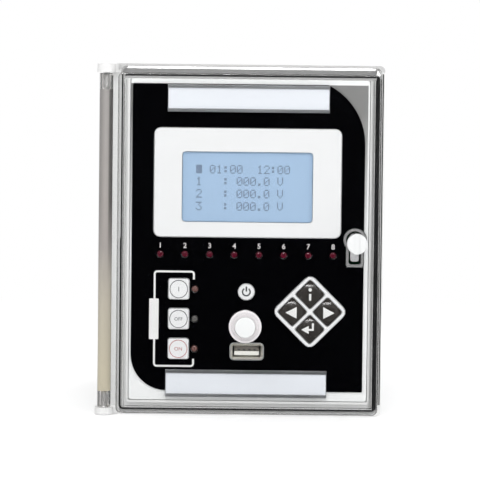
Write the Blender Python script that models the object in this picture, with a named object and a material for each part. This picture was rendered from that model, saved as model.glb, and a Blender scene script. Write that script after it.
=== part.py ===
"""Flush-mounting protection relay with a clear cover that is hinged on the left.

Lengths are in metres. X runs to the right, Y to the rear and Z up. The sizes below are
given in a frame with X = 0 in the middle of the cover, Y = 0 on the front face of the
flange and Z = 0 at the flange's bottom edge. One empty then carries the whole relay, so
that its origin lies in the middle of the bottom of its outer box.
"""

import math

import bmesh
import bpy
from mathutils import Vector

MM = 0.001
CLEARANCE = 0.3 * MM
OVERCUT = 1.0 * MM
FULL_TURN = 360.0

# Clear cover
COVER_WIDTH = 116.0 * MM
COVER_HEIGHT = 154.0 * MM
COVER_DEPTH = 30.0 * MM
COVER_WALL = 2.5 * MM
COVER_CORNER = 2.5 * MM
COVER_INNER_CORNER = 0.6 * MM
COVER_EDGE = 1.4 * MM
COVER_SIDE_DRAFT = 1.6 * MM
COVER_END_DRAFT = 2.6 * MM

# Mounting flange
FLANGE_THICKNESS = 3.0 * MM
FLANGE_CORNER = 2.0 * MM
FLANGE_BEYOND_COVER_LEFT = 4.0 * MM
FLANGE_BEYOND_COVER_RIGHT = 1.2 * MM
FLANGE_BEYOND_COVER_ENDS = 1.0 * MM
RIM_WALL = 1.0 * MM
RIM_HEIGHT = 2.5 * MM
RIM_CORNER = 1.5 * MM
RIM_TO_COVER_LEFT = 0.9 * MM
RIM_TO_COVER_RIGHT = 1.7 * MM
RIM_TO_COVER_TOP = 1.6 * MM
RIM_TO_COVER_BOTTOM = 2.0 * MM
GASKET_WIDTH = 1.2 * MM
GASKET_THICKNESS = 1.0 * MM
GASKET_INSET = 0.2 * MM

# Hinge
HINGE_TO_COVER = 6.2 * MM
HINGE_BEFORE_FLANGE = 3.4 * MM
BARREL_RADIUS = 3.0 * MM
WEB_THICKNESS = 2.5 * MM
EAR_NOSE = 4.1 * MM
EAR_REACH = 5.6 * MM
EAR_SHOULDER = 1.5 * MM
EAR_HEIGHT_BOTTOM = 3.1 * MM
EAR_HEIGHT_TOP = 4.0 * MM
EAR_EDGE_STEP = 0.2 * MM
PIN_RADIUS = 1.5 * MM
PIN_IN_BARREL = 6.9 * MM
PIN_HEAD_RADIUS = 2.3 * MM
PIN_HEAD_HEIGHT = 0.9 * MM

# Front plate and facia film of the draw-out unit
PLATE_THICKNESS = 2.0 * MM
PLATE_CORNER = 1.2 * MM
FILM_THICKNESS = 0.4 * MM
FILM_MARGIN_LEFT = 0.8 * MM
FILM_MARGIN_RIGHT = 1.9 * MM
FILM_MARGIN_TOP = 2.2 * MM
FILM_MARGIN_BOTTOM = 4.2 * MM
FILM_SMALL_CORNER = 0.6 * MM
FILM_TOP_ARC = 29.1 * MM
FILM_TOP_ARC_DROP = 26.3 * MM
FILM_BOTTOM_ARC = 16.0 * MM

# Display
BEZEL_MARGIN_LEFT = 9.75 * MM
BEZEL_MARGIN_RIGHT = 10.4 * MM
BEZEL_BELOW_TOP = 19.5 * MM
BEZEL_ABOVE_BOTTOM = 68.55 * MM
BEZEL_CORNER = 2.9 * MM
BEZEL_PROUD = 1.0 * MM
WINDOW_INSET_LEFT = 12.35 * MM
WINDOW_INSET_RIGHT = 12.55 * MM
WINDOW_INSET_TOP = 10.4 * MM
WINDOW_INSET_BOTTOM = 6.65 * MM
WINDOW_CORNER = 1.7 * MM
WINDOW_THICKNESS = 0.8 * MM
DISPLAY_BORDER = 2.0 * MM

# Indicator lamps
LED_COUNT = 8
LED_RADIUS = 1.45 * MM
LED_COLLAR_RADIUS = 1.8 * MM
LED_COLLAR_HEIGHT = 1.5 * MM
LED_PROUD = 0.1 * MM
LED_DOME = 0.25 * MM
LED_BELOW_BEZEL = 7.75 * MM
LED_MARGIN_LEFT = 12.74 * MM
LED_MARGIN_RIGHT = 13.66 * MM

# Square keys and their lamps
KEY_SIZE = 9.1 * MM
KEY_CORNER = 1.0 * MM
KEY_PROUD = 1.8 * MM
KEY_CHAMFER = 0.4 * MM
KEY_TRAVEL = 0.5 * MM
KEY_STEM_RADIUS = 1.8 * MM
KEY_STEM_BEFORE_BOARD = 3.8 * MM
KEY_FROM_LEFT = 21.2 * MM
KEY_LED_FROM_KEY = 7.1 * MM
KEY_LOWEST = 18.75 * MM
KEY_PITCH = 13.3 * MM
KEY_COUNT = 3
SWITCH_SIZE = 6.0 * MM

# Diamond of four keys
NAV_FROM_RIGHT = 23.6 * MM
NAV_FROM_BOTTOM = 35.75 * MM
NAV_HALF_DIAGONAL = 16.8 * MM
NAV_CORNER = 3.0 * MM
NAV_KEY_CORNER = 1.0 * MM
NAV_BORDER = 1.45 * MM
NAV_CROSS = 1.2 * MM
NAV_FRAME_PROUD = 1.0 * MM
NAV_KEY_PROUD = 2.0 * MM
NAV_KEY_DOME = 0.7 * MM

# Power mark lens
POWER_RADIUS = 3.55 * MM
POWER_PROUD = 0.3 * MM
POWER_FROM_MIDDLE = -0.38 * MM
POWER_FROM_BOTTOM = 44.3 * MM
POWER_LIGHT_RADIUS = 1.5 * MM

# Socket
USB_FROM_MIDDLE = 0.07 * MM
USB_FROM_BOTTOM = 17.7 * MM
USB_INNER_WIDTH = 12.5 * MM
USB_INNER_HEIGHT = 5.12 * MM
USB_WALL = 0.35 * MM
USB_FLARE = 0.75 * MM
USB_FLARE_DEPTH = 1.0 * MM
USB_PROUD = 0.4 * MM
USB_REAR = 9.6 * MM
USB_CORNER = 0.5 * MM
USB_TONGUE_WIDTH = 11.1 * MM
USB_TONGUE_THICKNESS = 1.84 * MM
USB_TONGUE_BELOW_MIDDLE = 1.8 * MM
USB_TONGUE_SET_BACK = 1.0 * MM
USB_BACK_THICKNESS = 2.0 * MM

# Label holders
LABEL_MARGIN_LEFT = 15.5 * MM
LABEL_MARGIN_RIGHT = 15.9 * MM
LABEL_HEIGHT = 12.05 * MM
LABEL_TOP_MARGIN = 0.35 * MM
LABEL_BOTTOM_MARGIN = -2.6 * MM
LABEL_SHEET = 0.4 * MM
LABEL_WEB = 0.5 * MM
LABEL_LIP = 1.5 * MM
LABEL_SLOT = 0.9 * MM
LABEL_STRIP = 0.3 * MM

# Lock
LOCK_FROM_RIGHT = 4.0 * MM
LOCK_ABOVE_BOTTOM = 67.9 * MM
LOCK_HEAD_RADIUS = 4.45 * MM
LOCK_HEAD_HEIGHT = 3.7 * MM
LOCK_HEAD_EDGE = 0.5 * MM
LOCK_SLOT_WIDTH = 2.6 * MM
LOCK_SLOT_DEPTH = 0.8 * MM
LOCK_SHAFT_RADIUS = 2.0 * MM
LOCK_SLEEVE_RADIUS = 2.7 * MM
LOCK_TONGUE_RADIUS = 2.9 * MM
LOCK_TONGUE_LENGTH = 9.8 * MM
LOCK_TONGUE_WIDTH = 3.9 * MM
LOCK_TONGUE_THICKNESS = 2.0 * MM
KEYHOLE_RADIUS = 3.9 * MM
KEYHOLE_LOBE_HALF_WIDTH = 2.7 * MM
KEYHOLE_LOBE_LENGTH = 10.9 * MM
KEYHOLE_LOBE_CORNER = 1.0 * MM
KEEPER_WALL = 1.2 * MM
KEEPER_PROUD = 0.5 * MM

# Reset plunger
PLUNGER_FROM_MIDDLE = -0.75 * MM
PLUNGER_FROM_BOTTOM = 31.3 * MM
PLUNGER_TRAVEL = 2.5 * MM
PLUNGER_CAP_RADIUS = 4.5 * MM
PLUNGER_CAP_THICKNESS = 3.0 * MM
PLUNGER_CAP_BEFORE_COVER = 7.0 * MM
PLUNGER_CAP_EDGE = 0.4 * MM
PLUNGER_ROD_RADIUS = 2.5 * MM
PLUNGER_GROOVE_RADIUS = 1.9 * MM
PLUNGER_GUIDE_RADIUS = 7.15 * MM
PLUNGER_GUIDE_BORE = 5.5 * MM
PLUNGER_GUIDE_BEFORE_COVER = 3.2 * MM
PLUNGER_FLOOR = 1.2 * MM
CLIP_THICKNESS = 0.6 * MM
CLIP_RADIUS = 4.2 * MM
CLIP_MOUTH = 3.0 * MM
SPRING_WIRE = 0.35 * MM
SPRING_RADIUS = 3.7 * MM
SPRING_TURNS = 2.5
SPRING_POINTS_PER_TURN = 12

# Case behind the flange
CASE_INSIDE_COVER = 4.0 * MM
CASE_WALL = 1.5 * MM
CASE_BELOW_FLANGE_EDGE = 8.0 * MM
CASE_REAR = 170.0 * MM
CASE_CORNER = 2.0 * MM
CASE_INNER_CORNER = 1.0 * MM
CASE_SEAT_DEPTH = 0.5 * MM
REAR_PLATE_THICKNESS = 1.5 * MM
REAR_SCREW_RADIUS = 2.5 * MM
REAR_SCREW_HEIGHT = 1.5 * MM
REAR_SCREW_INSET = 6.0 * MM
TERMINAL_DEPTH = 16.0 * MM
TERMINAL_SIDE_GAP = 17.0 * MM
TERMINAL_MIDDLE_GAP = 10.0 * MM
TERMINAL_ROWS = 8
TERMINAL_END_GAP = 13.2 * MM
TERMINAL_RIB = 1.6 * MM
TERMINAL_RECESS = 7.0 * MM
TERMINAL_SCREW_RADIUS = 3.0 * MM
TERMINAL_SCREW_HEIGHT = 2.0 * MM
TERMINAL_SCREW_FROM_MIDDLE = 8.0 * MM
EARTH_SCREW_RADIUS = 2.0 * MM
EARTH_HEAD_RADIUS = 4.0 * MM
EARTH_HEAD_HEIGHT = 3.0 * MM
EARTH_SCREW_IN_CASE = 6.0 * MM
EARTH_FROM_EDGE = 8.0 * MM

# Clamps that hold the panel against the flange
PANEL_THICKNESS = 3.0 * MM
CLAMP_SHEET = 1.5 * MM
CLAMP_JAW = 3.1 * MM
CLAMP_LENGTH = 34.0 * MM
CLAMP_HEIGHT = 60.0 * MM
CLAMP_SCREW_RADIUS = 1.6 * MM
CLAMP_SCREW_HEAD_RADIUS = 3.0 * MM
CLAMP_SCREW_HEAD_HEIGHT = 2.3 * MM
CLAMP_SCREW_IN_CASE = 1.0 * MM
CLAMP_SCREW_FROM_JAW = 20.0 * MM

# Inside of the draw-out unit
TRAY_THICKNESS = 1.2 * MM
TRAY_SIDE_GAP = 2.5 * MM
TRAY_REAR_GAP = 6.0 * MM
BOARD_THICKNESS = 1.6 * MM
FRONT_BOARD_FRONT = 6.3 * MM
FRONT_BOARD_SIDE_GAP = 3.5 * MM
MAIN_BOARD_SIDE_GAP = 14.1 * MM
MAIN_BOARD_BELOW_TOP = 10.0 * MM
TRANSFORMER_WIDTH = 24.0 * MM
TRANSFORMER_DEPTH = 32.0 * MM
TRANSFORMER_GAP = 10.0 * MM
TRANSFORMER_BOTTOM_GAP = 6.7 * MM
TRANSFORMER_TOP_GAP = 8.5 * MM
TRANSFORMER_BEFORE_REAR = 58.0 * MM
TRANSFORMER_COUNT = 3
COIL_SIDE = 4.0 * MM
RELAY_WIDTH = 12.0 * MM
RELAY_DEPTH = 28.0 * MM
RELAY_HEIGHT = 14.0 * MM
RELAY_BOTTOM_GAP = 8.7 * MM
RELAY_TOP_GAP = 16.5 * MM
RELAY_BEFORE_REAR = 48.0 * MM
RELAY_COUNT = 5
CONNECTOR_WIDTH = 9.0 * MM
CONNECTOR_DEPTH = 11.7 * MM
CONNECTOR_BOTTOM_GAP = 18.7 * MM
CONNECTOR_TOP_GAP = 16.5 * MM

ROUND_SEGMENTS = 24
SMALL_SEGMENTS = 14
CORNER_STEPS = 3
TERMINAL_SCREW_SEGMENTS = 10

# Places worked out from the sizes above: cover, flange and hinge
COVER_LEFT = -COVER_WIDTH / 2
COVER_RIGHT = COVER_WIDTH / 2
COVER_BOTTOM = FLANGE_BEYOND_COVER_ENDS
COVER_TOP = COVER_BOTTOM + COVER_HEIGHT
COVER_FRONT = -COVER_DEPTH
COVER_INNER_FRONT = COVER_FRONT + COVER_WALL
COVER_REAR = -CLEARANCE
FLANGE_LEFT = COVER_LEFT - FLANGE_BEYOND_COVER_LEFT
FLANGE_RIGHT = COVER_RIGHT + FLANGE_BEYOND_COVER_RIGHT
FLANGE_HEIGHT = COVER_HEIGHT + 2 * FLANGE_BEYOND_COVER_ENDS
HINGE_X = COVER_LEFT - HINGE_TO_COVER
HINGE_Y = -HINGE_BEFORE_FLANGE
EAR_BOTTOM = (EAR_EDGE_STEP, EAR_HEIGHT_BOTTOM)
EAR_TOP = (FLANGE_HEIGHT - EAR_HEIGHT_TOP, FLANGE_HEIGHT - EAR_EDGE_STEP)
BARREL_BOTTOM = EAR_BOTTOM[1] + CLEARANCE
BARREL_TOP = EAR_TOP[0] - CLEARANCE
RIM_LEFT = COVER_LEFT + COVER_WALL + RIM_TO_COVER_LEFT
RIM_RIGHT = COVER_RIGHT - COVER_WALL - RIM_TO_COVER_RIGHT
RIM_TOP = COVER_TOP - COVER_WALL - RIM_TO_COVER_TOP
RIM_BOTTOM = COVER_BOTTOM + COVER_WALL + RIM_TO_COVER_BOTTOM

# Places worked out: front plate, film, display and lamps
PLATE_LEFT = RIM_LEFT + RIM_WALL + CLEARANCE
PLATE_RIGHT = RIM_RIGHT - RIM_WALL - CLEARANCE
PLATE_TOP = RIM_TOP - RIM_WALL - CLEARANCE
PLATE_BOTTOM = RIM_BOTTOM + RIM_WALL + CLEARANCE
PLATE_BACK = -CLEARANCE
PLATE_FRONT = PLATE_BACK - PLATE_THICKNESS
FILM_BACK = PLATE_FRONT - CLEARANCE
FILM_FRONT = FILM_BACK - FILM_THICKNESS
FILM_LEFT = PLATE_LEFT + FILM_MARGIN_LEFT
FILM_RIGHT = PLATE_RIGHT - FILM_MARGIN_RIGHT
FILM_TOP = PLATE_TOP - FILM_MARGIN_TOP
FILM_BOTTOM = PLATE_BOTTOM + FILM_MARGIN_BOTTOM
FILM_MIDDLE = (FILM_LEFT + FILM_RIGHT) / 2
BEZEL_LEFT = FILM_LEFT + BEZEL_MARGIN_LEFT
BEZEL_RIGHT = FILM_RIGHT - BEZEL_MARGIN_RIGHT
BEZEL_TOP = FILM_TOP - BEZEL_BELOW_TOP
BEZEL_BOTTOM = FILM_BOTTOM + BEZEL_ABOVE_BOTTOM
WINDOW_LEFT = BEZEL_LEFT + WINDOW_INSET_LEFT
WINDOW_RIGHT = BEZEL_RIGHT - WINDOW_INSET_RIGHT
WINDOW_TOP = BEZEL_TOP - WINDOW_INSET_TOP
WINDOW_BOTTOM = BEZEL_BOTTOM + WINDOW_INSET_BOTTOM
LED_Z = BEZEL_BOTTOM - LED_BELOW_BEZEL
LED_FIRST = FILM_LEFT + LED_MARGIN_LEFT
LED_PITCH = (FILM_RIGHT - LED_MARGIN_RIGHT - LED_FIRST) / (LED_COUNT - 1)

# Places worked out: keys, socket, lock, plunger
KEY_X = FILM_LEFT + KEY_FROM_LEFT
KEY_BACK = PLATE_FRONT - CLEARANCE - KEY_TRAVEL
KEY_STEM_END = FRONT_BOARD_FRONT - KEY_STEM_BEFORE_BOARD
SWITCH_FRONT = KEY_STEM_END + KEY_TRAVEL + CLEARANCE
KEY_LED_X = KEY_X + KEY_LED_FROM_KEY
NAV_X = FILM_RIGHT - NAV_FROM_RIGHT
NAV_Z = FILM_BOTTOM + NAV_FROM_BOTTOM
NAV_KEY_SIZE = (math.sqrt(2) * NAV_HALF_DIAGONAL - 2 * NAV_BORDER - NAV_CROSS) / 2 - 2 * CLEARANCE
NAV_KEY_OFFSET = (NAV_KEY_SIZE + 2 * CLEARANCE + NAV_CROSS) / math.sqrt(2)
POWER_X = FILM_MIDDLE + POWER_FROM_MIDDLE
POWER_Z = FILM_BOTTOM + POWER_FROM_BOTTOM
USB_X = FILM_MIDDLE + USB_FROM_MIDDLE
USB_Z = FILM_BOTTOM + USB_FROM_BOTTOM
LOCK_X = FILM_RIGHT - LOCK_FROM_RIGHT
LOCK_Z = FILM_BOTTOM + LOCK_ABOVE_BOTTOM
LOCK_HEAD_BACK = COVER_FRONT - CLEARANCE
LOCK_TONGUE_FRONT = PLATE_BACK + CLEARANCE
LOCK_TONGUE_BACK = LOCK_TONGUE_FRONT + LOCK_TONGUE_THICKNESS
PLUNGER_X = FILM_MIDDLE + PLUNGER_FROM_MIDDLE
PLUNGER_Z = FILM_BOTTOM + PLUNGER_FROM_BOTTOM
PLUNGER_CAP_FRONT = COVER_FRONT - PLUNGER_CAP_BEFORE_COVER
PLUNGER_ROD_END = FILM_FRONT - CLEARANCE - PLUNGER_TRAVEL
PLUNGER_POCKET = COVER_INNER_FRONT - PLUNGER_FLOOR

# Places worked out: case, tray and boards
CASE_LEFT = COVER_LEFT + CASE_INSIDE_COVER
CASE_RIGHT = COVER_RIGHT - CASE_INSIDE_COVER
CASE_BOTTOM = CASE_BELOW_FLANGE_EDGE
CASE_TOP = FLANGE_HEIGHT - CASE_BELOW_FLANGE_EDGE
CASE_SEAT = FLANGE_THICKNESS - CASE_SEAT_DEPTH
CASE_FRONT = CASE_SEAT + CLEARANCE
CASE_FLOOR = CASE_BOTTOM + CASE_WALL
CASE_CEILING = CASE_TOP - CASE_WALL
REAR_PLATE_FRONT = CASE_REAR + CLEARANCE
REAR_PLATE_BACK = REAR_PLATE_FRONT + REAR_PLATE_THICKNESS
TERMINAL_FRONT = REAR_PLATE_BACK + CLEARANCE
TERMINAL_BACK = TERMINAL_FRONT + TERMINAL_DEPTH
TERMINAL_WIDTH = CASE_RIGHT - TERMINAL_SIDE_GAP - TERMINAL_MIDDLE_GAP / 2
TERMINAL_FROM_MIDDLE = (TERMINAL_MIDDLE_GAP + TERMINAL_WIDTH) / 2
TERMINAL_BOTTOM = CASE_BOTTOM + TERMINAL_END_GAP
TERMINAL_HEIGHT = CASE_TOP - CASE_BOTTOM - 2 * TERMINAL_END_GAP
TERMINAL_PITCH = (TERMINAL_HEIGHT - TERMINAL_RIB) / TERMINAL_ROWS
TRAY_BOTTOM = CASE_FLOOR + CLEARANCE
TRAY_TOP = TRAY_BOTTOM + TRAY_THICKNESS
TRAY_REAR = CASE_REAR - TRAY_REAR_GAP
BOARD_BOTTOM = TRAY_TOP + CLEARANCE
FRONT_BOARD_BACK = FRONT_BOARD_FRONT + BOARD_THICKNESS
BOARD_TOP = CASE_CEILING - MAIN_BOARD_BELOW_TOP
MAIN_BOARD_X = CASE_RIGHT - CASE_WALL - MAIN_BOARD_SIDE_GAP
CONNECTOR_BACK = REAR_PLATE_FRONT - CLEARANCE
CONNECTOR_FRONT = CONNECTOR_BACK - CONNECTOR_DEPTH
MAIN_BOARD_REAR = CONNECTOR_FRONT - CLEARANCE
TRANSFORMER_SPAN = BOARD_TOP - BOARD_BOTTOM - TRANSFORMER_BOTTOM_GAP - TRANSFORMER_TOP_GAP
TRANSFORMER_PITCH = (TRANSFORMER_SPAN + TRANSFORMER_GAP) / TRANSFORMER_COUNT
TRANSFORMER_FRONT = MAIN_BOARD_REAR - TRANSFORMER_BEFORE_REAR
RELAY_LOWEST = BOARD_BOTTOM + RELAY_BOTTOM_GAP
RELAY_PITCH = (BOARD_TOP - RELAY_TOP_GAP - RELAY_WIDTH - RELAY_LOWEST) / (RELAY_COUNT - 1)
RELAY_FRONT = MAIN_BOARD_REAR - RELAY_BEFORE_REAR
CLAMP_FRONT = FLANGE_THICKNESS + PANEL_THICKNESS + CLEARANCE
CLAMP_MIDDLE = FLANGE_HEIGHT / 2

# The relay's own origin: middle of its outer box, at its lowest point
OUTER_LEFT = HINGE_X - EAR_NOSE
OUTER_MIDDLE_X = (OUTER_LEFT + FLANGE_RIGHT) / 2
OUTER_MIDDLE_Y = (PLUNGER_CAP_FRONT + TERMINAL_BACK) / 2


def clear_scene():
    """Remove everything that the scene holds."""
    for old in list(bpy.data.objects):
        bpy.data.objects.remove(old)


def make_material(name, colour, roughness, metallic=0.0, transmission=0.0):
    """Return a Principled material of one plain colour."""
    material = bpy.data.materials.new(name)
    material.use_nodes = True
    shader = material.node_tree.nodes["Principled BSDF"]
    shader.inputs["Base Color"].default_value = (*colour, 1.0)
    shader.inputs["Roughness"].default_value = roughness
    shader.inputs["Metallic"].default_value = metallic
    shader.inputs["Transmission Weight"].default_value = transmission
    return material


def make_materials():
    """Return the relay's materials by name."""
    return {
        "white_plastic": make_material("white_plastic", (0.86, 0.86, 0.85), 0.45),
        "clear_plastic": make_material("clear_plastic", (0.93, 0.94, 0.94), 0.08, transmission=1.0),
        "black_film": make_material("black_film", (0.02, 0.02, 0.022), 0.4),
        "steel": make_material("steel", (0.6, 0.6, 0.6), 0.3, metallic=1.0),
        "zinc": make_material("zinc", (0.62, 0.62, 0.6), 0.45, metallic=1.0),
        "rubber": make_material("rubber", (0.015, 0.015, 0.015), 0.7),
        "grey_plastic": make_material("grey_plastic", (0.22, 0.22, 0.22), 0.5),
        "warm_grey": make_material("warm_grey", (0.17, 0.155, 0.145), 0.5),
        "display": make_material("display", (0.4, 0.55, 0.75), 0.2),
        "lamp": make_material("lamp", (0.5, 0.5, 0.48), 0.25),
        "lamp_red": make_material("lamp_red", (0.25, 0.07, 0.05), 0.25),
        "paper": make_material("paper", (0.85, 0.85, 0.85), 0.8),
        "board": make_material("board", (0.02, 0.13, 0.05), 0.4),
        "black_plastic": make_material("black_plastic", (0.02, 0.02, 0.02), 0.5),
        "case_paint": make_material("case_paint", (0.55, 0.56, 0.55), 0.45),
        "core": make_material("core", (0.12, 0.12, 0.13), 0.5, metallic=0.6),
    }


def place(axis, u, v, along):
    """Turn a point of an outline, and its distance along the axis, into X, Y and Z."""
    if axis == "X":
        return (along, u, v)
    if axis == "Y":
        return (u, along, v)
    return (u, v, along)


def arc(u, v, radius, start, end, steps):
    """Return the points of an arc, with its angles in degrees."""
    points = []
    for step in range(steps + 1):
        angle = math.radians(start + (end - start) * step / steps)
        points.append((u + radius * math.cos(angle), v + radius * math.sin(angle)))
    return points


def circle(u, v, radius, segments=SMALL_SEGMENTS):
    """Return the points of a full circle."""
    return arc(u, v, radius, 0.0, FULL_TURN, segments)[:-1]


def rounded_rectangle(left, right, bottom, top, radius, steps=CORNER_STEPS):
    """Return a rectangle's outline with round corners, from its right upper one on."""
    points = arc(right - radius, top - radius, radius, 0, 90, steps)
    points += arc(left + radius, top - radius, radius, 90, 180, steps)
    points += arc(left + radius, bottom + radius, radius, 180, 270, steps)
    points += arc(right - radius, bottom + radius, radius, 270, 360, steps)
    return points


def centred_rectangle(u, v, width, height, radius):
    """Return a rounded rectangle around a middle point."""
    return rounded_rectangle(u - width / 2, u + width / 2, v - height / 2, v + height / 2, radius)


def diamond(u, v, half_diagonal, radius):
    """Return a square that stands on its corner, with round corners."""
    reach = half_diagonal - radius * math.sqrt(2)
    points = []
    for angle in (0, 90, 180, 270):
        corner_u = u + reach * math.cos(math.radians(angle))
        corner_v = v + reach * math.sin(math.radians(angle))
        points += arc(corner_u, corner_v, radius, angle - 45, angle + 45, CORNER_STEPS)
    return points


def keyhole(u, v, radius, half_width, length):
    """Return a round hole with a lobe that hangs down from it, square but for its corners."""
    angle = math.degrees(math.acos(half_width / radius))
    points = arc(u, v, radius, -angle, 180.0 + angle, ROUND_SEGMENTS)
    corner = KEYHOLE_LOBE_CORNER
    points += arc(u - half_width + corner, v - length + corner, corner, 180, 270, CORNER_STEPS)
    points += arc(u + half_width - corner, v - length + corner, corner, 270, 360, CORNER_STEPS)
    return points


def film_outline():
    """Return the film's outline: two opposite corners are cut by large arcs."""
    lean = math.degrees(math.asin(FILM_TOP_ARC_DROP / FILM_TOP_ARC))
    small = FILM_SMALL_CORNER
    points = arc(FILM_RIGHT - FILM_TOP_ARC, FILM_TOP - FILM_TOP_ARC_DROP, FILM_TOP_ARC, 0, lean, 10)
    points += arc(FILM_LEFT + small, FILM_TOP - small, small, 90, 180, CORNER_STEPS)
    points += arc(FILM_LEFT + FILM_BOTTOM_ARC, FILM_BOTTOM + FILM_BOTTOM_ARC, FILM_BOTTOM_ARC, 180, 270, 10)
    points += arc(FILM_RIGHT - small, FILM_BOTTOM + small, small, 270, 360, CORNER_STEPS)
    return points


def finish(bm, name, material, origin=(0.0, 0.0, 0.0), smooth=False):
    """Turn a mesh that is drawn in the relay's frame into an object with its own origin."""
    bmesh.ops.recalc_face_normals(bm, faces=bm.faces)
    bmesh.ops.translate(bm, verts=bm.verts, vec=-Vector(origin))
    mesh = bpy.data.meshes.new(name)
    bm.to_mesh(mesh)
    bm.free()
    mesh.materials.append(material)
    if smooth:
        mesh.shade_smooth()
        mesh.set_sharp_from_angle(angle=math.radians(35.0))
    made = bpy.data.objects.new(name, mesh)
    made.location = origin
    bpy.context.scene.collection.objects.link(made)
    return made


def box_mesh(left, right, front, back, bottom, top):
    """Return the mesh of a box."""
    bm = bmesh.new()
    bmesh.ops.create_cube(bm, size=1.0)
    bmesh.ops.scale(bm, verts=bm.verts, vec=(right - left, back - front, top - bottom))
    middle = ((left + right) / 2, (front + back) / 2, (bottom + top) / 2)
    bmesh.ops.translate(bm, verts=bm.verts, vec=middle)
    return bm


def plate_mesh(outline, start, end, holes=(), axis="Y"):
    """Return the mesh of a flat plate: an outline with holes, filled and extruded."""
    bm = bmesh.new()
    for loop in (outline, *holes):
        corners = [bm.verts.new(place(axis, u, v, start)) for u, v in loop]
        for first, second in zip(corners, corners[1:] + corners[:1]):
            bm.edges.new((first, second))
    bmesh.ops.triangle_fill(bm, use_beauty=True, edges=bm.edges[:])
    grown = bmesh.ops.extrude_face_region(bm, geom=bm.faces[:])
    moved = [item for item in grown["geom"] if isinstance(item, bmesh.types.BMVert)]
    bmesh.ops.translate(bm, verts=moved, vec=place(axis, 0.0, 0.0, end - start))
    return bm


def turned_mesh(profile, u, v, axis="Y", segments=ROUND_SEGMENTS):
    """Return a solid of revolution. The profile lists radius and distance along the axis."""
    bm = bmesh.new()
    corners = [bm.verts.new(place(axis, u + radius, v, along)) for radius, along in profile]
    edges = [bm.edges.new(pair) for pair in zip(corners, corners[1:])]
    bmesh.ops.spin(
        bm,
        geom=corners + edges,
        cent=place(axis, u, v, 0.0),
        axis=place(axis, 0.0, 0.0, 1.0),
        angle=2 * math.pi,
        steps=segments,
        use_merge=True,
    )
    bmesh.ops.remove_doubles(bm, verts=bm.verts, dist=MM / 1000)
    return bm


def rings_mesh(rings, axis="Y", closed=False):
    """Join outlines of equally many points, one after the other, into a solid."""
    bm = bmesh.new()
    loops = [[bm.verts.new(place(axis, u, v, along)) for u, v in outline] for outline, along in rings]
    pairs = list(zip(loops, loops[1:]))
    if closed:
        pairs.append((loops[-1], loops[0]))
    else:
        bm.faces.new(loops[0])
        bm.faces.new(loops[-1])
    for first, second in pairs:
        for index in range(len(first)):
            after = (index + 1) % len(first)
            bm.faces.new((first[index], first[after], second[after], second[index]))
    return bm


def join_mesh(*meshes):
    """Put several separate meshes into the first one."""
    first, *rest = meshes
    for extra in rest:
        holder = bpy.data.meshes.new("holder")
        extra.to_mesh(holder)
        extra.free()
        first.from_mesh(holder)
        bpy.data.meshes.remove(holder)
    return first


def apply_tool(target, bm, operation, name):
    """Cut a mesh out of an object, or add it, with a modifier that stays on the object."""
    tool = finish(bm, name, target.data.materials[0])
    tool.hide_render = True
    tool.display_type = "WIRE"
    change = target.modifiers.new(name, "BOOLEAN")
    change.operation = operation
    change.solver = "EXACT"
    change.object = tool
    return tool


def cut(target, bm, name):
    """Cut a mesh out of an object."""
    return apply_tool(target, bm, "DIFFERENCE", name)


def fuse(target, bm, name):
    """Add a mesh to an object."""
    return apply_tool(target, bm, "UNION", name)


def ear_outline():
    """Return the outline of a hinge ear, seen from above: a round nose and a neck."""
    neck_back = FLANGE_THICKNESS - EAR_EDGE_STEP
    points = arc(HINGE_X, HINGE_Y, EAR_NOSE, 180, 360, 12)
    points += [
        (HINGE_X + EAR_REACH, HINGE_Y + EAR_SHOULDER),
        (HINGE_X + EAR_REACH, neck_back),
        (HINGE_X - EAR_NOSE, neck_back),
    ]
    return points


def pin_profile(head_end, head_start, tip, spread=0.0):
    """Return the profile of a headed hinge pin, or of its hole when spread is not 0."""
    outward = math.copysign(1.0, head_end - head_start)
    beyond = outward * spread
    reach = outward * OVERCUT if spread else 0.0
    return [
        (0.0, head_end + reach),
        (PIN_HEAD_RADIUS + spread, head_end + reach),
        (PIN_HEAD_RADIUS + spread, head_start - beyond),
        (PIN_RADIUS + spread, head_start - beyond),
        (PIN_RADIUS + spread, tip - beyond),
        (0.0, tip - beyond),
    ]


def hinge_pins():
    """Return each pin's name and the heights of its head's two faces and of its tip."""
    head = PIN_HEAD_HEIGHT
    low = EAR_BOTTOM[0] + CLEARANCE
    high = EAR_TOP[1] - CLEARANCE
    return (
        ("hinge_pin_bottom", low, low + head, BARREL_BOTTOM + PIN_IN_BARREL),
        ("hinge_pin_top", high, high - head, BARREL_TOP - PIN_IN_BARREL),
    )


def gasket_outline(grow):
    """Return an outline that lies under the cover's wall, grown outwards."""
    inset = COVER_WALL - GASKET_INSET - GASKET_WIDTH - grow
    return rounded_rectangle(
        COVER_LEFT + inset,
        COVER_RIGHT - inset,
        COVER_BOTTOM + inset,
        COVER_TOP - inset,
        COVER_CORNER - inset,
    )


def case_outline(grow):
    """Return the case's outline, grown outwards."""
    return rounded_rectangle(
        CASE_LEFT - grow,
        CASE_RIGHT + grow,
        CASE_BOTTOM - grow,
        CASE_TOP + grow,
        CASE_CORNER + grow,
    )


def rim_outline(inset):
    """Return the rim's outline, moved inwards."""
    corner = max(RIM_CORNER - inset, COVER_INNER_CORNER)
    return rounded_rectangle(RIM_LEFT + inset, RIM_RIGHT - inset, RIM_BOTTOM + inset, RIM_TOP - inset, corner)


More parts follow.
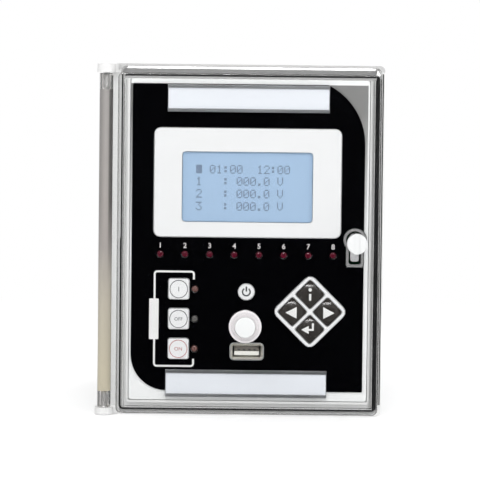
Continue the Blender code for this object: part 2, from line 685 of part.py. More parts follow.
def build_flange(materials):
    """White moulding: plate, rim, gasket groove, opening, recess for the case and two hinge ears."""
    outer = rounded_rectangle(FLANGE_LEFT, FLANGE_RIGHT, 0.0, FLANGE_HEIGHT, FLANGE_CORNER)
    groove_outer = gasket_outline(CLEARANCE)
    groove_inner = gasket_outline(-GASKET_WIDTH - CLEARANCE)
    groove_floor = GASKET_THICKNESS + CLEARANCE
    opening = rounded_rectangle(
        CASE_LEFT + CASE_WALL + CLEARANCE,
        PLATE_RIGHT - RIM_WALL,
        CASE_FLOOR,
        CASE_CEILING,
        COVER_INNER_CORNER,
    )
    rings = (
        (outer, 0.0),
        (groove_outer, 0.0),
        (groove_outer, groove_floor),
        (groove_inner, groove_floor),
        (groove_inner, 0.0),
        (rim_outline(0.0), 0.0),
        (rim_outline(0.0), -RIM_HEIGHT),
        (rim_outline(RIM_WALL), -RIM_HEIGHT),
        (rim_outline(RIM_WALL), 0.0),
        (opening, 0.0),
        (opening, CASE_SEAT),
        (case_outline(CLEARANCE), CASE_SEAT),
        (case_outline(CLEARANCE), FLANGE_THICKNESS),
        (outer, FLANGE_THICKNESS),
    )
    flange = finish(rings_mesh(rings, closed=True), "mounting_flange", materials["white_plastic"])
    for ear_name, (low, high) in (("ear_bottom", EAR_BOTTOM), ("ear_top", EAR_TOP)):
        fuse(flange, plate_mesh(ear_outline(), low, high, axis="Z"), ear_name)
    for name, head_end, head_start, tip in hinge_pins():
        hole = turned_mesh(pin_profile(head_end, head_start, tip, CLEARANCE), HINGE_X, HINGE_Y, "Z")
        cut(flange, hole, name + "_hole")


def build_hinge_pins(materials):
    """Two short headed pins, one in each ear."""
    for name, head_end, head_start, tip in hinge_pins():
        pin = turned_mesh(pin_profile(head_end, head_start, tip), HINGE_X, HINGE_Y, "Z")
        finish(pin, name, materials["steel"], smooth=True)


def build_gasket(materials):
    """Rubber cord in the flange's groove, under the edge of the cover."""
    rings = (
        (gasket_outline(0.0), 0.0),
        (gasket_outline(0.0), GASKET_THICKNESS),
        (gasket_outline(-GASKET_WIDTH), GASKET_THICKNESS),
        (gasket_outline(-GASKET_WIDTH), 0.0),
    )
    finish(rings_mesh(rings, closed=True), "cover_gasket", materials["rubber"])


def cover_outline(depth, inset):
    """Return the cover's outline at a depth before the flange, moved inwards."""
    side = COVER_SIDE_DRAFT * depth / COVER_DEPTH
    end = COVER_END_DRAFT * depth / COVER_DEPTH
    return rounded_rectangle(
        COVER_LEFT + inset,
        COVER_RIGHT - side - inset,
        COVER_BOTTOM + end + inset,
        COVER_TOP - end - inset,
        max(COVER_CORNER - inset, COVER_INNER_CORNER),
    )


def build_cover(materials):
    """Clear moulding: a drafted box, the hinge barrel on its web, and the plunger's guide."""
    rings = [
        (cover_outline(-COVER_INNER_FRONT, COVER_WALL), COVER_INNER_FRONT),
        (cover_outline(-COVER_REAR, COVER_WALL), COVER_REAR),
        (cover_outline(-COVER_REAR, 0.0), COVER_REAR),
    ]
    for step in range(4):
        angle = math.radians(90 * step / 3)
        inset = COVER_EDGE * (1 - math.cos(angle))
        front = COVER_FRONT + COVER_EDGE * (1 - math.sin(angle))
        rings.append((cover_outline(-front, inset), front))
    axis_point = (HINGE_X, HINGE_Y, BARREL_BOTTOM)
    cover = finish(rings_mesh(rings), "cover", materials["clear_plastic"], axis_point, smooth=True)
    web = box_mesh(
        HINGE_X,
        COVER_LEFT + COVER_WALL / 2,
        HINGE_Y - WEB_THICKNESS / 2,
        HINGE_Y + WEB_THICKNESS / 2,
        BARREL_BOTTOM + OVERCUT,
        BARREL_TOP - OVERCUT,
    )
    fuse(cover, web, "hinge_web")
    barrel = plate_mesh(circle(HINGE_X, HINGE_Y, BARREL_RADIUS), BARREL_BOTTOM, BARREL_TOP, axis="Z")
    fuse(cover, barrel, "hinge_barrel")
    for name, head_end, head_start, tip in hinge_pins():
        outward = math.copysign(1.0, head_end - tip)
        bore_end = (BARREL_TOP if outward > 0 else BARREL_BOTTOM) + outward * OVERCUT
        bore = circle(HINGE_X, HINGE_Y, PIN_RADIUS + CLEARANCE)
        low, high = sorted((tip - outward * CLEARANCE, bore_end))
        cut(cover, plate_mesh(bore, low, high, axis="Z"), name + "_bore")
    guide_front = COVER_FRONT - PLUNGER_GUIDE_BEFORE_COVER
    guide = circle(PLUNGER_X, PLUNGER_Z, PLUNGER_GUIDE_RADIUS, ROUND_SEGMENTS)
    fuse(cover, plate_mesh(guide, guide_front, COVER_FRONT + COVER_WALL / 2), "plunger_guide")
    rod_hole = PLUNGER_ROD_RADIUS + CLEARANCE
    pocket = (
        (0.0, guide_front - OVERCUT),
        (PLUNGER_GUIDE_BORE, guide_front - OVERCUT),
        (PLUNGER_GUIDE_BORE, PLUNGER_POCKET),
        (rod_hole, PLUNGER_POCKET),
        (rod_hole, COVER_INNER_FRONT + OVERCUT),
        (0.0, COVER_INNER_FRONT + OVERCUT),
    )
    cut(cover, turned_mesh(pocket, PLUNGER_X, PLUNGER_Z), "plunger_bore")
    lock_hole = circle(LOCK_X, LOCK_Z, LOCK_SHAFT_RADIUS + CLEARANCE, ROUND_SEGMENTS)
    cut(cover, plate_mesh(lock_hole, COVER_FRONT - OVERCUT, COVER_INNER_FRONT + OVERCUT), "lock_hole")
    return cover


def build_lock(materials):
    """Slotted knob with its shaft, and the sleeve with the tongue behind the cover."""
    origin = (LOCK_X, COVER_FRONT, LOCK_Z)
    head_front = LOCK_HEAD_BACK - LOCK_HEAD_HEIGHT
    shaft_end = LOCK_TONGUE_FRONT + LOCK_TONGUE_THICKNESS / 2
    profile = (
        (0.0, head_front),
        (LOCK_HEAD_RADIUS - LOCK_HEAD_EDGE, head_front),
        (LOCK_HEAD_RADIUS, head_front + LOCK_HEAD_EDGE),
        (LOCK_HEAD_RADIUS, LOCK_HEAD_BACK),
        (LOCK_SHAFT_RADIUS, LOCK_HEAD_BACK),
        (LOCK_SHAFT_RADIUS, shaft_end - CLEARANCE),
        (0.0, shaft_end - CLEARANCE),
    )
    knob = finish(turned_mesh(profile, LOCK_X, LOCK_Z), "lock_knob", materials["white_plastic"], origin, True)
    slot = box_mesh(
        LOCK_X - LOCK_SLOT_WIDTH / 2,
        LOCK_X + LOCK_SLOT_WIDTH / 2,
        head_front - OVERCUT,
        head_front + LOCK_SLOT_DEPTH,
        LOCK_Z - LOCK_HEAD_RADIUS - OVERCUT,
        LOCK_Z + LOCK_HEAD_RADIUS + OVERCUT,
    )
    cut(knob, slot, "knob_slot")

    half_width = LOCK_TONGUE_WIDTH / 2
    outline = keyhole(LOCK_X, LOCK_Z, LOCK_TONGUE_RADIUS, half_width, LOCK_TONGUE_LENGTH)
    blade = plate_mesh(outline, LOCK_TONGUE_FRONT, LOCK_TONGUE_BACK)
    tongue = finish(blade, "lock_tongue", materials["grey_plastic"], origin, True)
    sleeve_front = COVER_INNER_FRONT + CLEARANCE
    sleeve = circle(LOCK_X, LOCK_Z, LOCK_SLEEVE_RADIUS, ROUND_SEGMENTS)
    fuse(tongue, plate_mesh(sleeve, sleeve_front, shaft_end), "lock_sleeve")
    bore = circle(LOCK_X, LOCK_Z, LOCK_SHAFT_RADIUS + CLEARANCE, ROUND_SEGMENTS)
    cut(tongue, plate_mesh(bore, sleeve_front - OVERCUT, shaft_end), "lock_bore")
    return knob, tongue


def spring_mesh(front, back):
    """Return a coil around the plunger's rod, swept along a helix with square-cut ends."""
    bm = bmesh.new()
    count = round(SPRING_TURNS * SPRING_POINTS_PER_TURN)
    rise = (back - front - 2 * SPRING_WIRE) / count
    previous = None
    for index in range(count + 1):
        angle = 2 * math.pi * index / SPRING_POINTS_PER_TURN
        along = front + SPRING_WIRE + rise * index
        loop = []
        for u, v in circle(0.0, 0.0, SPRING_WIRE, 6):
            reach = SPRING_RADIUS + u
            x = PLUNGER_X + reach * math.cos(angle)
            z = PLUNGER_Z + reach * math.sin(angle)
            loop.append(bm.verts.new((x, along + v, z)))
        if previous is None:
            bm.faces.new(loop)
        else:
            for side in range(len(loop)):
                after = (side + 1) % len(loop)
                bm.faces.new((previous[side], previous[after], loop[after], loop[side]))
        previous = loop
    bm.faces.new(previous)
    return bm


def build_plunger(materials):
    """Push cap on a long rod, its return spring and the clip that keeps it in the cover."""
    origin = (PLUNGER_X, COVER_FRONT, PLUNGER_Z)
    cap_back = PLUNGER_CAP_FRONT + PLUNGER_CAP_THICKNESS
    clip_front = COVER_INNER_FRONT + CLEARANCE
    clip_back = clip_front + CLIP_THICKNESS
    profile = (
        (0.0, PLUNGER_CAP_FRONT),
        (PLUNGER_CAP_RADIUS - PLUNGER_CAP_EDGE, PLUNGER_CAP_FRONT),
        (PLUNGER_CAP_RADIUS, PLUNGER_CAP_FRONT + PLUNGER_CAP_EDGE),
        (PLUNGER_CAP_RADIUS, cap_back),
        (PLUNGER_ROD_RADIUS, cap_back),
        (PLUNGER_ROD_RADIUS, clip_front - CLEARANCE),
        (PLUNGER_GROOVE_RADIUS, clip_front - CLEARANCE),
        (PLUNGER_GROOVE_RADIUS, clip_back + CLEARANCE),
        (PLUNGER_ROD_RADIUS, clip_back + CLEARANCE),
        (PLUNGER_ROD_RADIUS, PLUNGER_ROD_END),
        (0.0, PLUNGER_ROD_END),
    )
    body = turned_mesh(profile, PLUNGER_X, PLUNGER_Z)
    plunger = finish(body, "reset_plunger", materials["white_plastic"], origin, True)
    mouth = math.degrees(math.asin(CLIP_MOUTH / 2 / CLIP_RADIUS))
    inner_radius = PLUNGER_GROOVE_RADIUS + CLEARANCE
    inner_mouth = math.degrees(math.asin(CLIP_MOUTH / 2 / inner_radius))
    outline = arc(PLUNGER_X, PLUNGER_Z, CLIP_RADIUS, mouth, FULL_TURN - mouth, ROUND_SEGMENTS)
    inner_end = FULL_TURN - inner_mouth
    outline += arc(PLUNGER_X, PLUNGER_Z, inner_radius, inner_end, inner_mouth, SMALL_SEGMENTS)
    clip = finish(plate_mesh(outline, clip_front, clip_back), "plunger_clip", materials["steel"], origin)
    coil = spring_mesh(cap_back + CLEARANCE, PLUNGER_POCKET - CLEARANCE)
    spring = finish(coil, "plunger_spring", materials["steel"], origin, True)
    return plunger, clip, spring


def led_places():
    """Return the middle of each of the eight lamps."""
    return [(LED_FIRST + index * LED_PITCH, LED_Z) for index in range(LED_COUNT)]


def key_places():
    """Return the middle of each square key, the highest first."""
    lowest = FILM_BOTTOM + KEY_LOWEST
    return [(KEY_X, lowest + (KEY_COUNT - 1 - index) * KEY_PITCH) for index in range(KEY_COUNT)]


def nav_places():
    """Return the name and the middle of each key of the diamond."""
    return (
        ("nav_key_up", NAV_X, NAV_Z + NAV_KEY_OFFSET),
        ("nav_key_left", NAV_X - NAV_KEY_OFFSET, NAV_Z),
        ("nav_key_right", NAV_X + NAV_KEY_OFFSET, NAV_Z),
        ("nav_key_enter", NAV_X, NAV_Z - NAV_KEY_OFFSET),
    )


def stem_places():
    """Return the middle of every key's stem."""
    return key_places() + [(x, z) for _, x, z in nav_places()]


def lamp_places():
    """Return the middle of every small lamp in the facia."""
    return led_places() + [(KEY_LED_X, z) for _, z in key_places()]


def usb_outline(grow):
    """Return the socket's inner outline, grown outwards."""
    width = USB_INNER_WIDTH + 2 * grow
    height = USB_INNER_HEIGHT + 2 * grow
    return centred_rectangle(USB_X, USB_Z, width, height, USB_CORNER + grow)


def build_front_plate(materials):
    """White plate that carries the facia, with openings for all that passes through it."""
    outline = rounded_rectangle(PLATE_LEFT, PLATE_RIGHT, PLATE_BOTTOM, PLATE_TOP, PLATE_CORNER)
    window = rounded_rectangle(WINDOW_LEFT, WINDOW_RIGHT, WINDOW_BOTTOM, WINDOW_TOP, WINDOW_CORNER)
    holes = [window, usb_outline(USB_WALL + CLEARANCE)]
    holes += [circle(x, z, LED_RADIUS + CLEARANCE) for x, z in lamp_places()]
    holes += [circle(x, z, KEY_STEM_RADIUS + CLEARANCE) for x, z in stem_places()]
    holes.append(circle(POWER_X, POWER_Z, POWER_LIGHT_RADIUS))
    holes.append(keeper_outline(KEEPER_WALL + CLEARANCE))
    finish(plate_mesh(outline, PLATE_FRONT, PLATE_BACK, holes), "front_plate", materials["white_plastic"])


def keeper_outline(grow):
    """Return the keyhole that the lock's tongue passes, grown outwards."""
    return keyhole(
        LOCK_X,
        LOCK_Z,
        KEYHOLE_RADIUS + grow,
        KEYHOLE_LOBE_HALF_WIDTH + grow,
        KEYHOLE_LOBE_LENGTH + grow,
    )


def build_facia(materials):
    """Black film with two corners cut by large arcs, and a bite where the keeper stands."""
    spread = CLEARANCE
    bezel = rounded_rectangle(
        BEZEL_LEFT - spread,
        BEZEL_RIGHT + spread,
        BEZEL_BOTTOM - spread,
        BEZEL_TOP + spread,
        BEZEL_CORNER + spread,
    )
    holes = [bezel, usb_outline(USB_WALL + USB_FLARE + spread)]
    holes.append(diamond(NAV_X, NAV_Z, NAV_HALF_DIAGONAL + spread * math.sqrt(2), NAV_CORNER + spread))
    holes += [circle(x, z, LED_RADIUS + spread) for x, z in lamp_places()]
    key_hole = KEY_SIZE + 2 * spread
    holes += [centred_rectangle(x, z, key_hole, key_hole, KEY_CORNER + spread) for x, z in key_places()]
    holes.append(circle(POWER_X, POWER_Z, POWER_RADIUS + spread, ROUND_SEGMENTS))
    film = finish(plate_mesh(film_outline(), FILM_FRONT, FILM_BACK, holes), "facia", materials["black_film"])
    bite = plate_mesh(keeper_outline(KEEPER_WALL + spread), FILM_FRONT - OVERCUT, FILM_BACK + OVERCUT)
    cut(film, bite, "keeper_bite")


def build_display(materials):
    """Raised white frame, clear window and the display behind the front plate."""
    outline = rounded_rectangle(BEZEL_LEFT, BEZEL_RIGHT, BEZEL_BOTTOM, BEZEL_TOP, BEZEL_CORNER)
    spread = CLEARANCE
    hole = rounded_rectangle(
        WINDOW_LEFT - spread,
        WINDOW_RIGHT + spread,
        WINDOW_BOTTOM - spread,
        WINDOW_TOP + spread,
        WINDOW_CORNER + spread,
    )
    frame = plate_mesh(outline, FILM_FRONT - BEZEL_PROUD, FILM_BACK, [hole])
    finish(frame, "lcd_bezel", materials["white_plastic"])
    window = rounded_rectangle(WINDOW_LEFT, WINDOW_RIGHT, WINDOW_BOTTOM, WINDOW_TOP, WINDOW_CORNER)
    pane = plate_mesh(window, FILM_BACK - WINDOW_THICKNESS, FILM_BACK)
    finish(pane, "lcd_window", materials["clear_plastic"])
    panel = box_mesh(
        WINDOW_LEFT - DISPLAY_BORDER,
        WINDOW_RIGHT + DISPLAY_BORDER,
        PLATE_BACK + CLEARANCE,
        FRONT_BOARD_FRONT - CLEARANCE,
        WINDOW_BOTTOM - DISPLAY_BORDER,
        WINDOW_TOP + DISPLAY_BORDER,
    )
    finish(panel, "lcd_panel", materials["display"])


def build_lamp(name, x, z, material):
    """One lamp: a low dome at the film, a stem and a collar on the front board."""
    front = FILM_FRONT - LED_PROUD
    back = FRONT_BOARD_FRONT - CLEARANCE
    profile = (
        (0.0, front),
        (LED_RADIUS / 2, front + LED_DOME / 4),
        (LED_RADIUS, front + LED_DOME),
        (LED_RADIUS, back - LED_COLLAR_HEIGHT),
        (LED_COLLAR_RADIUS, back - LED_COLLAR_HEIGHT),
        (LED_COLLAR_RADIUS, back),
        (0.0, back),
    )
    finish(turned_mesh(profile, x, z, segments=SMALL_SEGMENTS), name, material, smooth=True)


def build_lamps(materials):
    """Eight lamps in a row, one beside each square key, and the power mark's lens."""
    for number, (x, z) in enumerate(led_places(), start=1):
        build_lamp(f"led_{number}", x, z, materials["lamp"])
    for number, (x, z) in enumerate(key_places(), start=1):
        colour = "lamp" if number == 2 else "lamp_red"
        build_lamp(f"key_led_{number}", KEY_LED_X, z, materials[colour])
    lens = circle(POWER_X, POWER_Z, POWER_RADIUS, ROUND_SEGMENTS)
    front = FILM_FRONT - POWER_PROUD
    finish(plate_mesh(lens, front, FILM_BACK), "power_lens", materials["white_plastic"])


def build_key(name, outlines, x, z, material):
    """One key cap from outlines at given depths, with the stem that works its switch."""
    cap = finish(rings_mesh(outlines), name, material, (x, FILM_FRONT, z))
    stem = circle(x, z, KEY_STEM_RADIUS)
    fuse(cap, plate_mesh(stem, KEY_BACK - KEY_CHAMFER, KEY_STEM_END), name + "_stem")
    return cap


def build_keys(materials):
    """Three square white keys and four dark ones in the diamond."""
    keys = []
    front = FILM_FRONT - KEY_PROUD
    for number, (x, z) in enumerate(key_places(), start=1):
        full = centred_rectangle(x, z, KEY_SIZE, KEY_SIZE, KEY_CORNER)
        face_size = KEY_SIZE - 2 * KEY_CHAMFER
        face = centred_rectangle(x, z, face_size, face_size, KEY_CORNER - KEY_CHAMFER)
        outlines = ((full, KEY_BACK), (full, front + KEY_CHAMFER), (face, front))
        keys.append(build_key(f"key_{number}", outlines, x, z, materials["white_plastic"]))
    front = FILM_FRONT - NAV_KEY_PROUD
    half_diagonal = NAV_KEY_SIZE / math.sqrt(2)
    for name, x, z in nav_places():
        full = diamond(x, z, half_diagonal, NAV_KEY_CORNER)
        middle = diamond(x, z, half_diagonal - NAV_KEY_DOME, NAV_KEY_CORNER)
        face = diamond(x, z, half_diagonal - 3 * NAV_KEY_DOME, NAV_KEY_CORNER)
        outlines = (
            (full, KEY_BACK),
            (full, front + NAV_KEY_DOME),
            (middle, front + NAV_KEY_DOME / 3),
            (face, front),
        )
        keys.append(build_key(name, outlines, x, z, materials["warm_grey"]))
    return keys


def build_nav_frame(materials):
    """White diamond frame with a cross, which parts the four keys."""
    half = (NAV_KEY_SIZE + 2 * CLEARANCE) / math.sqrt(2)
    holes = [diamond(x, z, half, NAV_KEY_CORNER) for _, x, z in nav_places()]
    outline = diamond(NAV_X, NAV_Z, NAV_HALF_DIAGONAL, NAV_CORNER)
    frame = plate_mesh(outline, FILM_FRONT - NAV_FRAME_PROUD, FILM_BACK, holes)
    finish(frame, "nav_frame", materials["white_plastic"])


def build_socket(materials):
    """Drawn metal shell with a flared mouth, and the insulator with its tongue."""
    mouth = FILM_FRONT - USB_PROUD
    throat = mouth + USB_FLARE_DEPTH
    rings = (
        (usb_outline(USB_FLARE), mouth),
        (usb_outline(0.0), throat),
        (usb_outline(0.0), USB_REAR),
        (usb_outline(USB_WALL), USB_REAR),
        (usb_outline(USB_WALL), throat),
        (usb_outline(USB_FLARE + USB_WALL), mouth),
    )
    finish(rings_mesh(rings, closed=True), "usb_shell", materials["steel"])
    half = USB_INNER_HEIGHT / 2 - CLEARANCE
    top = USB_Z - USB_TONGUE_BELOW_MIDDLE + USB_TONGUE_THICKNESS
    bottom = USB_Z - USB_TONGUE_BELOW_MIDDLE
    wall = USB_REAR - USB_BACK_THICKNESS
    tip = throat + USB_TONGUE_SET_BACK
    outline = (
        (tip, bottom),
        (tip, top),
        (wall, top),
        (wall, USB_Z + half),
        (USB_REAR, USB_Z + half),
        (USB_REAR, USB_Z - half),
        (wall, USB_Z - half),
        (wall, bottom),
    )
    left = USB_X - USB_TONGUE_WIDTH / 2
    right = USB_X + USB_TONGUE_WIDTH / 2
    finish(plate_mesh(outline, left, right, axis="X"), "usb_tongue", materials["white_plastic"])


def build_label_holder(place_name, bottom, materials):
    """Metal channel on the film, and the strip that is slid into it."""
    back = FILM_FRONT - CLEARANCE
    floor = back - LABEL_SHEET
    lip_back = floor - LABEL_SLOT
    front = lip_back - LABEL_SHEET
    top = bottom + LABEL_HEIGHT
    outline = (
        (back, bottom),
        (front, bottom),
        (front, bottom + LABEL_LIP),
        (lip_back, bottom + LABEL_LIP),
        (lip_back, bottom + LABEL_WEB),
        (floor, bottom + LABEL_WEB),
        (floor, top - LABEL_WEB),
        (lip_back, top - LABEL_WEB),
        (lip_back, top - LABEL_LIP),
        (front, top - LABEL_LIP),
        (front, top),
        (back, top),
    )
    left = FILM_LEFT + LABEL_MARGIN_LEFT
    right = FILM_RIGHT - LABEL_MARGIN_RIGHT
    rail = plate_mesh(outline, left, right, axis="X")
    finish(rail, "label_rail_" + place_name, materials["zinc"])
    strip = box_mesh(
        left + CLEARANCE,
        right - CLEARANCE,
        floor - CLEARANCE - LABEL_STRIP,
        floor - CLEARANCE,
        bottom + LABEL_WEB + CLEARANCE,
        top - LABEL_WEB - CLEARANCE,
    )
    finish(strip, "label_strip_" + place_name, materials["paper"])


def build_keeper(materials):
    """Grey keyhole-shaped insert behind which the lock's tongue is turned."""
    front = FILM_FRONT - KEEPER_PROUD
    ring = plate_mesh(keeper_outline(KEEPER_WALL), front, PLATE_BACK, [keeper_outline(0.0)])
    finish(ring, "lock_keeper", materials["grey_plastic"])


def build_case(materials):
    """Steel sleeve behind the flange and its rear plate."""
    outer = case_outline(0.0)
    inner = rounded_rectangle(
        CASE_LEFT + CASE_WALL,
        CASE_RIGHT - CASE_WALL,
        CASE_FLOOR,
        CASE_CEILING,
        CASE_INNER_CORNER,
    )
    rings = ((outer, CASE_FRONT), (inner, CASE_FRONT), (inner, CASE_REAR), (outer, CASE_REAR))
    case = finish(rings_mesh(rings, closed=True), "case_shell", materials["case_paint"])
    hole = circle(CLAMP_FRONT + CLAMP_SCREW_FROM_JAW, CLAMP_MIDDLE, CLAMP_SCREW_RADIUS + CLEARANCE)
    beyond = CASE_RIGHT + OVERCUT
    cut(case, plate_mesh(hole, -beyond, beyond, axis="X"), "clamp_screw_holes")

    earth_hole = circle(
        CASE_RIGHT - EARTH_FROM_EDGE,
        CASE_BOTTOM + 2 * EARTH_FROM_EDGE,
        EARTH_SCREW_RADIUS + CLEARANCE,
    )
    sheet = plate_mesh(outer, REAR_PLATE_FRONT, REAR_PLATE_BACK, [earth_hole])
    rear = finish(sheet, "rear_plate", materials["case_paint"])
    screws = []
    for x in (CASE_LEFT + REAR_SCREW_INSET, CASE_RIGHT - REAR_SCREW_INSET):
        for z in (CASE_BOTTOM + REAR_SCREW_INSET, CASE_TOP - REAR_SCREW_INSET):
            head = circle(x, z, REAR_SCREW_RADIUS)
            start = REAR_PLATE_BACK - REAR_PLATE_THICKNESS / 2
            screws.append(plate_mesh(head, start, REAR_PLATE_BACK + REAR_SCREW_HEIGHT))
    fuse(rear, join_mesh(*screws), "rear_plate_screws")


def build_earth_screw(materials):
    """Earthing screw in the rear plate."""
    head_front = REAR_PLATE_BACK + CLEARANCE
    head_back = head_front + EARTH_HEAD_HEIGHT
    profile = (
        (0.0, REAR_PLATE_FRONT - EARTH_SCREW_IN_CASE),
        (EARTH_SCREW_RADIUS, REAR_PLATE_FRONT - EARTH_SCREW_IN_CASE),
        (EARTH_SCREW_RADIUS, head_front),
        (EARTH_HEAD_RADIUS, head_front),
        (EARTH_HEAD_RADIUS, head_back),
        (0.0, head_back),
    )
    x = CASE_RIGHT - EARTH_FROM_EDGE
    z = CASE_BOTTOM + 2 * EARTH_FROM_EDGE
    screw = turned_mesh(profile, x, z, segments=SMALL_SEGMENTS)
    finish(screw, "earth_screw", materials["steel"], smooth=True)


def build_terminal_block(name, middle_x, materials):
    """Black moulding with ribs between its rows, and two screws fused into each row."""
    left = middle_x - TERMINAL_WIDTH / 2
    right = middle_x + TERMINAL_WIDTH / 2
    top = TERMINAL_BOTTOM + TERMINAL_HEIGHT
    body = box_mesh(left, right, TERMINAL_FRONT, TERMINAL_BACK, TERMINAL_BOTTOM, top)
    block = finish(body, name, materials["black_plastic"])
    floor = TERMINAL_BACK - TERMINAL_RECESS
    recesses = []
    screws = []
    for row in range(TERMINAL_ROWS):
        low = TERMINAL_BOTTOM + TERMINAL_RIB + row * TERMINAL_PITCH
        high = low + TERMINAL_PITCH - TERMINAL_RIB
        recesses.append(box_mesh(left - OVERCUT, right + OVERCUT, floor, TERMINAL_BACK + OVERCUT, low, high))
        for side in (-1, 1):
            x = middle_x + side * TERMINAL_SCREW_FROM_MIDDLE
            head = circle(x, (low + high) / 2, TERMINAL_SCREW_RADIUS, TERMINAL_SCREW_SEGMENTS)
            screws.append(plate_mesh(head, floor - OVERCUT, floor + TERMINAL_SCREW_HEIGHT))
    cut(block, join_mesh(*recesses), name + "_rows")
    fuse(block, join_mesh(*screws), name + "_screws")


def build_clamp(side_name, side, materials):
    """Angle on the case's side that grips the panel from behind, and its screw."""
    wall = side * (CASE_RIGHT + CLEARANCE)
    face = side * (CASE_RIGHT + CLEARANCE + CLAMP_SHEET)
    jaw = side * (CASE_RIGHT + CLEARANCE + CLAMP_SHEET + CLAMP_JAW)
    outline = (
        (wall, CLAMP_FRONT),
        (jaw, CLAMP_FRONT),
        (jaw, CLAMP_FRONT + CLAMP_SHEET),
        (face, CLAMP_FRONT + CLAMP_SHEET),
        (face, CLAMP_FRONT + CLAMP_LENGTH),
        (wall, CLAMP_FRONT + CLAMP_LENGTH),
    )
    low = CLAMP_MIDDLE - CLAMP_HEIGHT / 2
    angle = plate_mesh(outline, low, low + CLAMP_HEIGHT, axis="Z")
    clamp = finish(angle, "panel_clamp_" + side_name, materials["zinc"])
    screw_y = CLAMP_FRONT + CLAMP_SCREW_FROM_JAW
    hole = circle(screw_y, CLAMP_MIDDLE, CLAMP_SCREW_RADIUS + CLEARANCE)
    ends = sorted((wall - side * OVERCUT, face + side * OVERCUT))
    cut(clamp, plate_mesh(hole, *ends, axis="X"), "clamp_hole_" + side_name)
    tip = side * (CASE_RIGHT - CASE_WALL - CLAMP_SCREW_IN_CASE)
    head = face + side * CLEARANCE
    head_end = head + side * CLAMP_SCREW_HEAD_HEIGHT
    profile = (
        (0.0, tip),
        (CLAMP_SCREW_RADIUS, tip),
        (CLAMP_SCREW_RADIUS, head),
        (CLAMP_SCREW_HEAD_RADIUS, head),
        (CLAMP_SCREW_HEAD_RADIUS, head_end),
        (0.0, head_end),
    )
    screw = turned_mesh(profile, screw_y, CLAMP_MIDDLE, "X", SMALL_SEGMENTS)
    finish(screw, "clamp_screw_" + side_name, materials["steel"], smooth=True)


def build_front_board(materials):
    """Board behind the front plate, with the keys' switches."""
    side_gap = CASE_WALL + FRONT_BOARD_SIDE_GAP
    outline = rounded_rectangle(
        CASE_LEFT + side_gap,
        CASE_RIGHT - side_gap,
        BOARD_BOTTOM,
        BOARD_TOP,
        CASE_INNER_CORNER,
    )
    holes = [usb_outline(USB_WALL + CLEARANCE)]
    sheet = plate_mesh(outline, FRONT_BOARD_FRONT, FRONT_BOARD_BACK, holes)
    board = finish(sheet, "front_board", materials["board"])
    half = SWITCH_SIZE / 2
    middle = (FRONT_BOARD_FRONT + FRONT_BOARD_BACK) / 2
    switches = [
        box_mesh(x - half, x + half, SWITCH_FRONT, middle, z - half, z + half) for x, z in stem_places()
    ]
    fuse(board, join_mesh(*switches), "switches")


def build_inside(materials):
    """Tray, boards, input transformers and rear connector of the draw-out unit."""
    half_width = CASE_RIGHT - CASE_WALL - TRAY_SIDE_GAP
    tray = box_mesh(-half_width, half_width, PLATE_BACK + CLEARANCE, TRAY_REAR, TRAY_BOTTOM, TRAY_TOP)
    finish(tray, "chassis_tray", materials["zinc"])
    front = FRONT_BOARD_BACK + CLEARANCE
    outer = MAIN_BOARD_X + BOARD_THICKNESS
    main = box_mesh(-outer, -MAIN_BOARD_X, front, MAIN_BOARD_REAR, BOARD_BOTTOM, BOARD_TOP)
    finish(main, "main_board", materials["board"])
    supply = box_mesh(MAIN_BOARD_X, outer, front, MAIN_BOARD_REAR, BOARD_BOTTOM, BOARD_TOP)
    board = finish(supply, "supply_board", materials["board"])
    relays = []
    for index in range(RELAY_COUNT):
        low = RELAY_LOWEST + index * RELAY_PITCH
        start = MAIN_BOARD_X - RELAY_HEIGHT
        end = MAIN_BOARD_X + BOARD_THICKNESS / 2
        relays.append(box_mesh(start, end, RELAY_FRONT, RELAY_FRONT + RELAY_DEPTH, low, low + RELAY_WIDTH))
    fuse(board, join_mesh(*relays), "output_relays")
    for index in range(TRANSFORMER_COUNT):
        build_transformer(index, materials)
    middle = -MAIN_BOARD_X - BOARD_THICKNESS / 2
    connector = box_mesh(
        middle - CONNECTOR_WIDTH / 2,
        middle + CONNECTOR_WIDTH / 2,
        CONNECTOR_FRONT,
        CONNECTOR_BACK,
        BOARD_BOTTOM + CONNECTOR_BOTTOM_GAP,
        BOARD_TOP - CONNECTOR_TOP_GAP,
    )
    finish(connector, "rear_connector", materials["black_plastic"])


def build_transformer(index, materials):
    """One input transformer: a laminated core with its coil, on the main board."""
    low = BOARD_BOTTOM + TRANSFORMER_BOTTOM_GAP + index * TRANSFORMER_PITCH
    high = low + TRANSFORMER_PITCH - TRANSFORMER_GAP
    left = -MAIN_BOARD_X + CLEARANCE
    right = left + TRANSFORMER_WIDTH
    back = TRANSFORMER_FRONT + TRANSFORMER_DEPTH
    body = box_mesh(left, right, TRANSFORMER_FRONT, back, low, high)
    core = finish(body, f"input_transformer_{index + 1}", materials["core"])
    coil = box_mesh(
        left + COIL_SIDE,
        right - COIL_SIDE,
        TRANSFORMER_FRONT - COIL_SIDE,
        back + COIL_SIDE,
        low + COIL_SIDE,
        high - COIL_SIDE,
    )
    fuse(core, coil, f"coil_{index + 1}")


def carry(moving, carrier):
    """Make a moving piece follow its carrier, at the place it has now."""
    moving.parent = carrier
    moving.location = moving.location - carrier.location


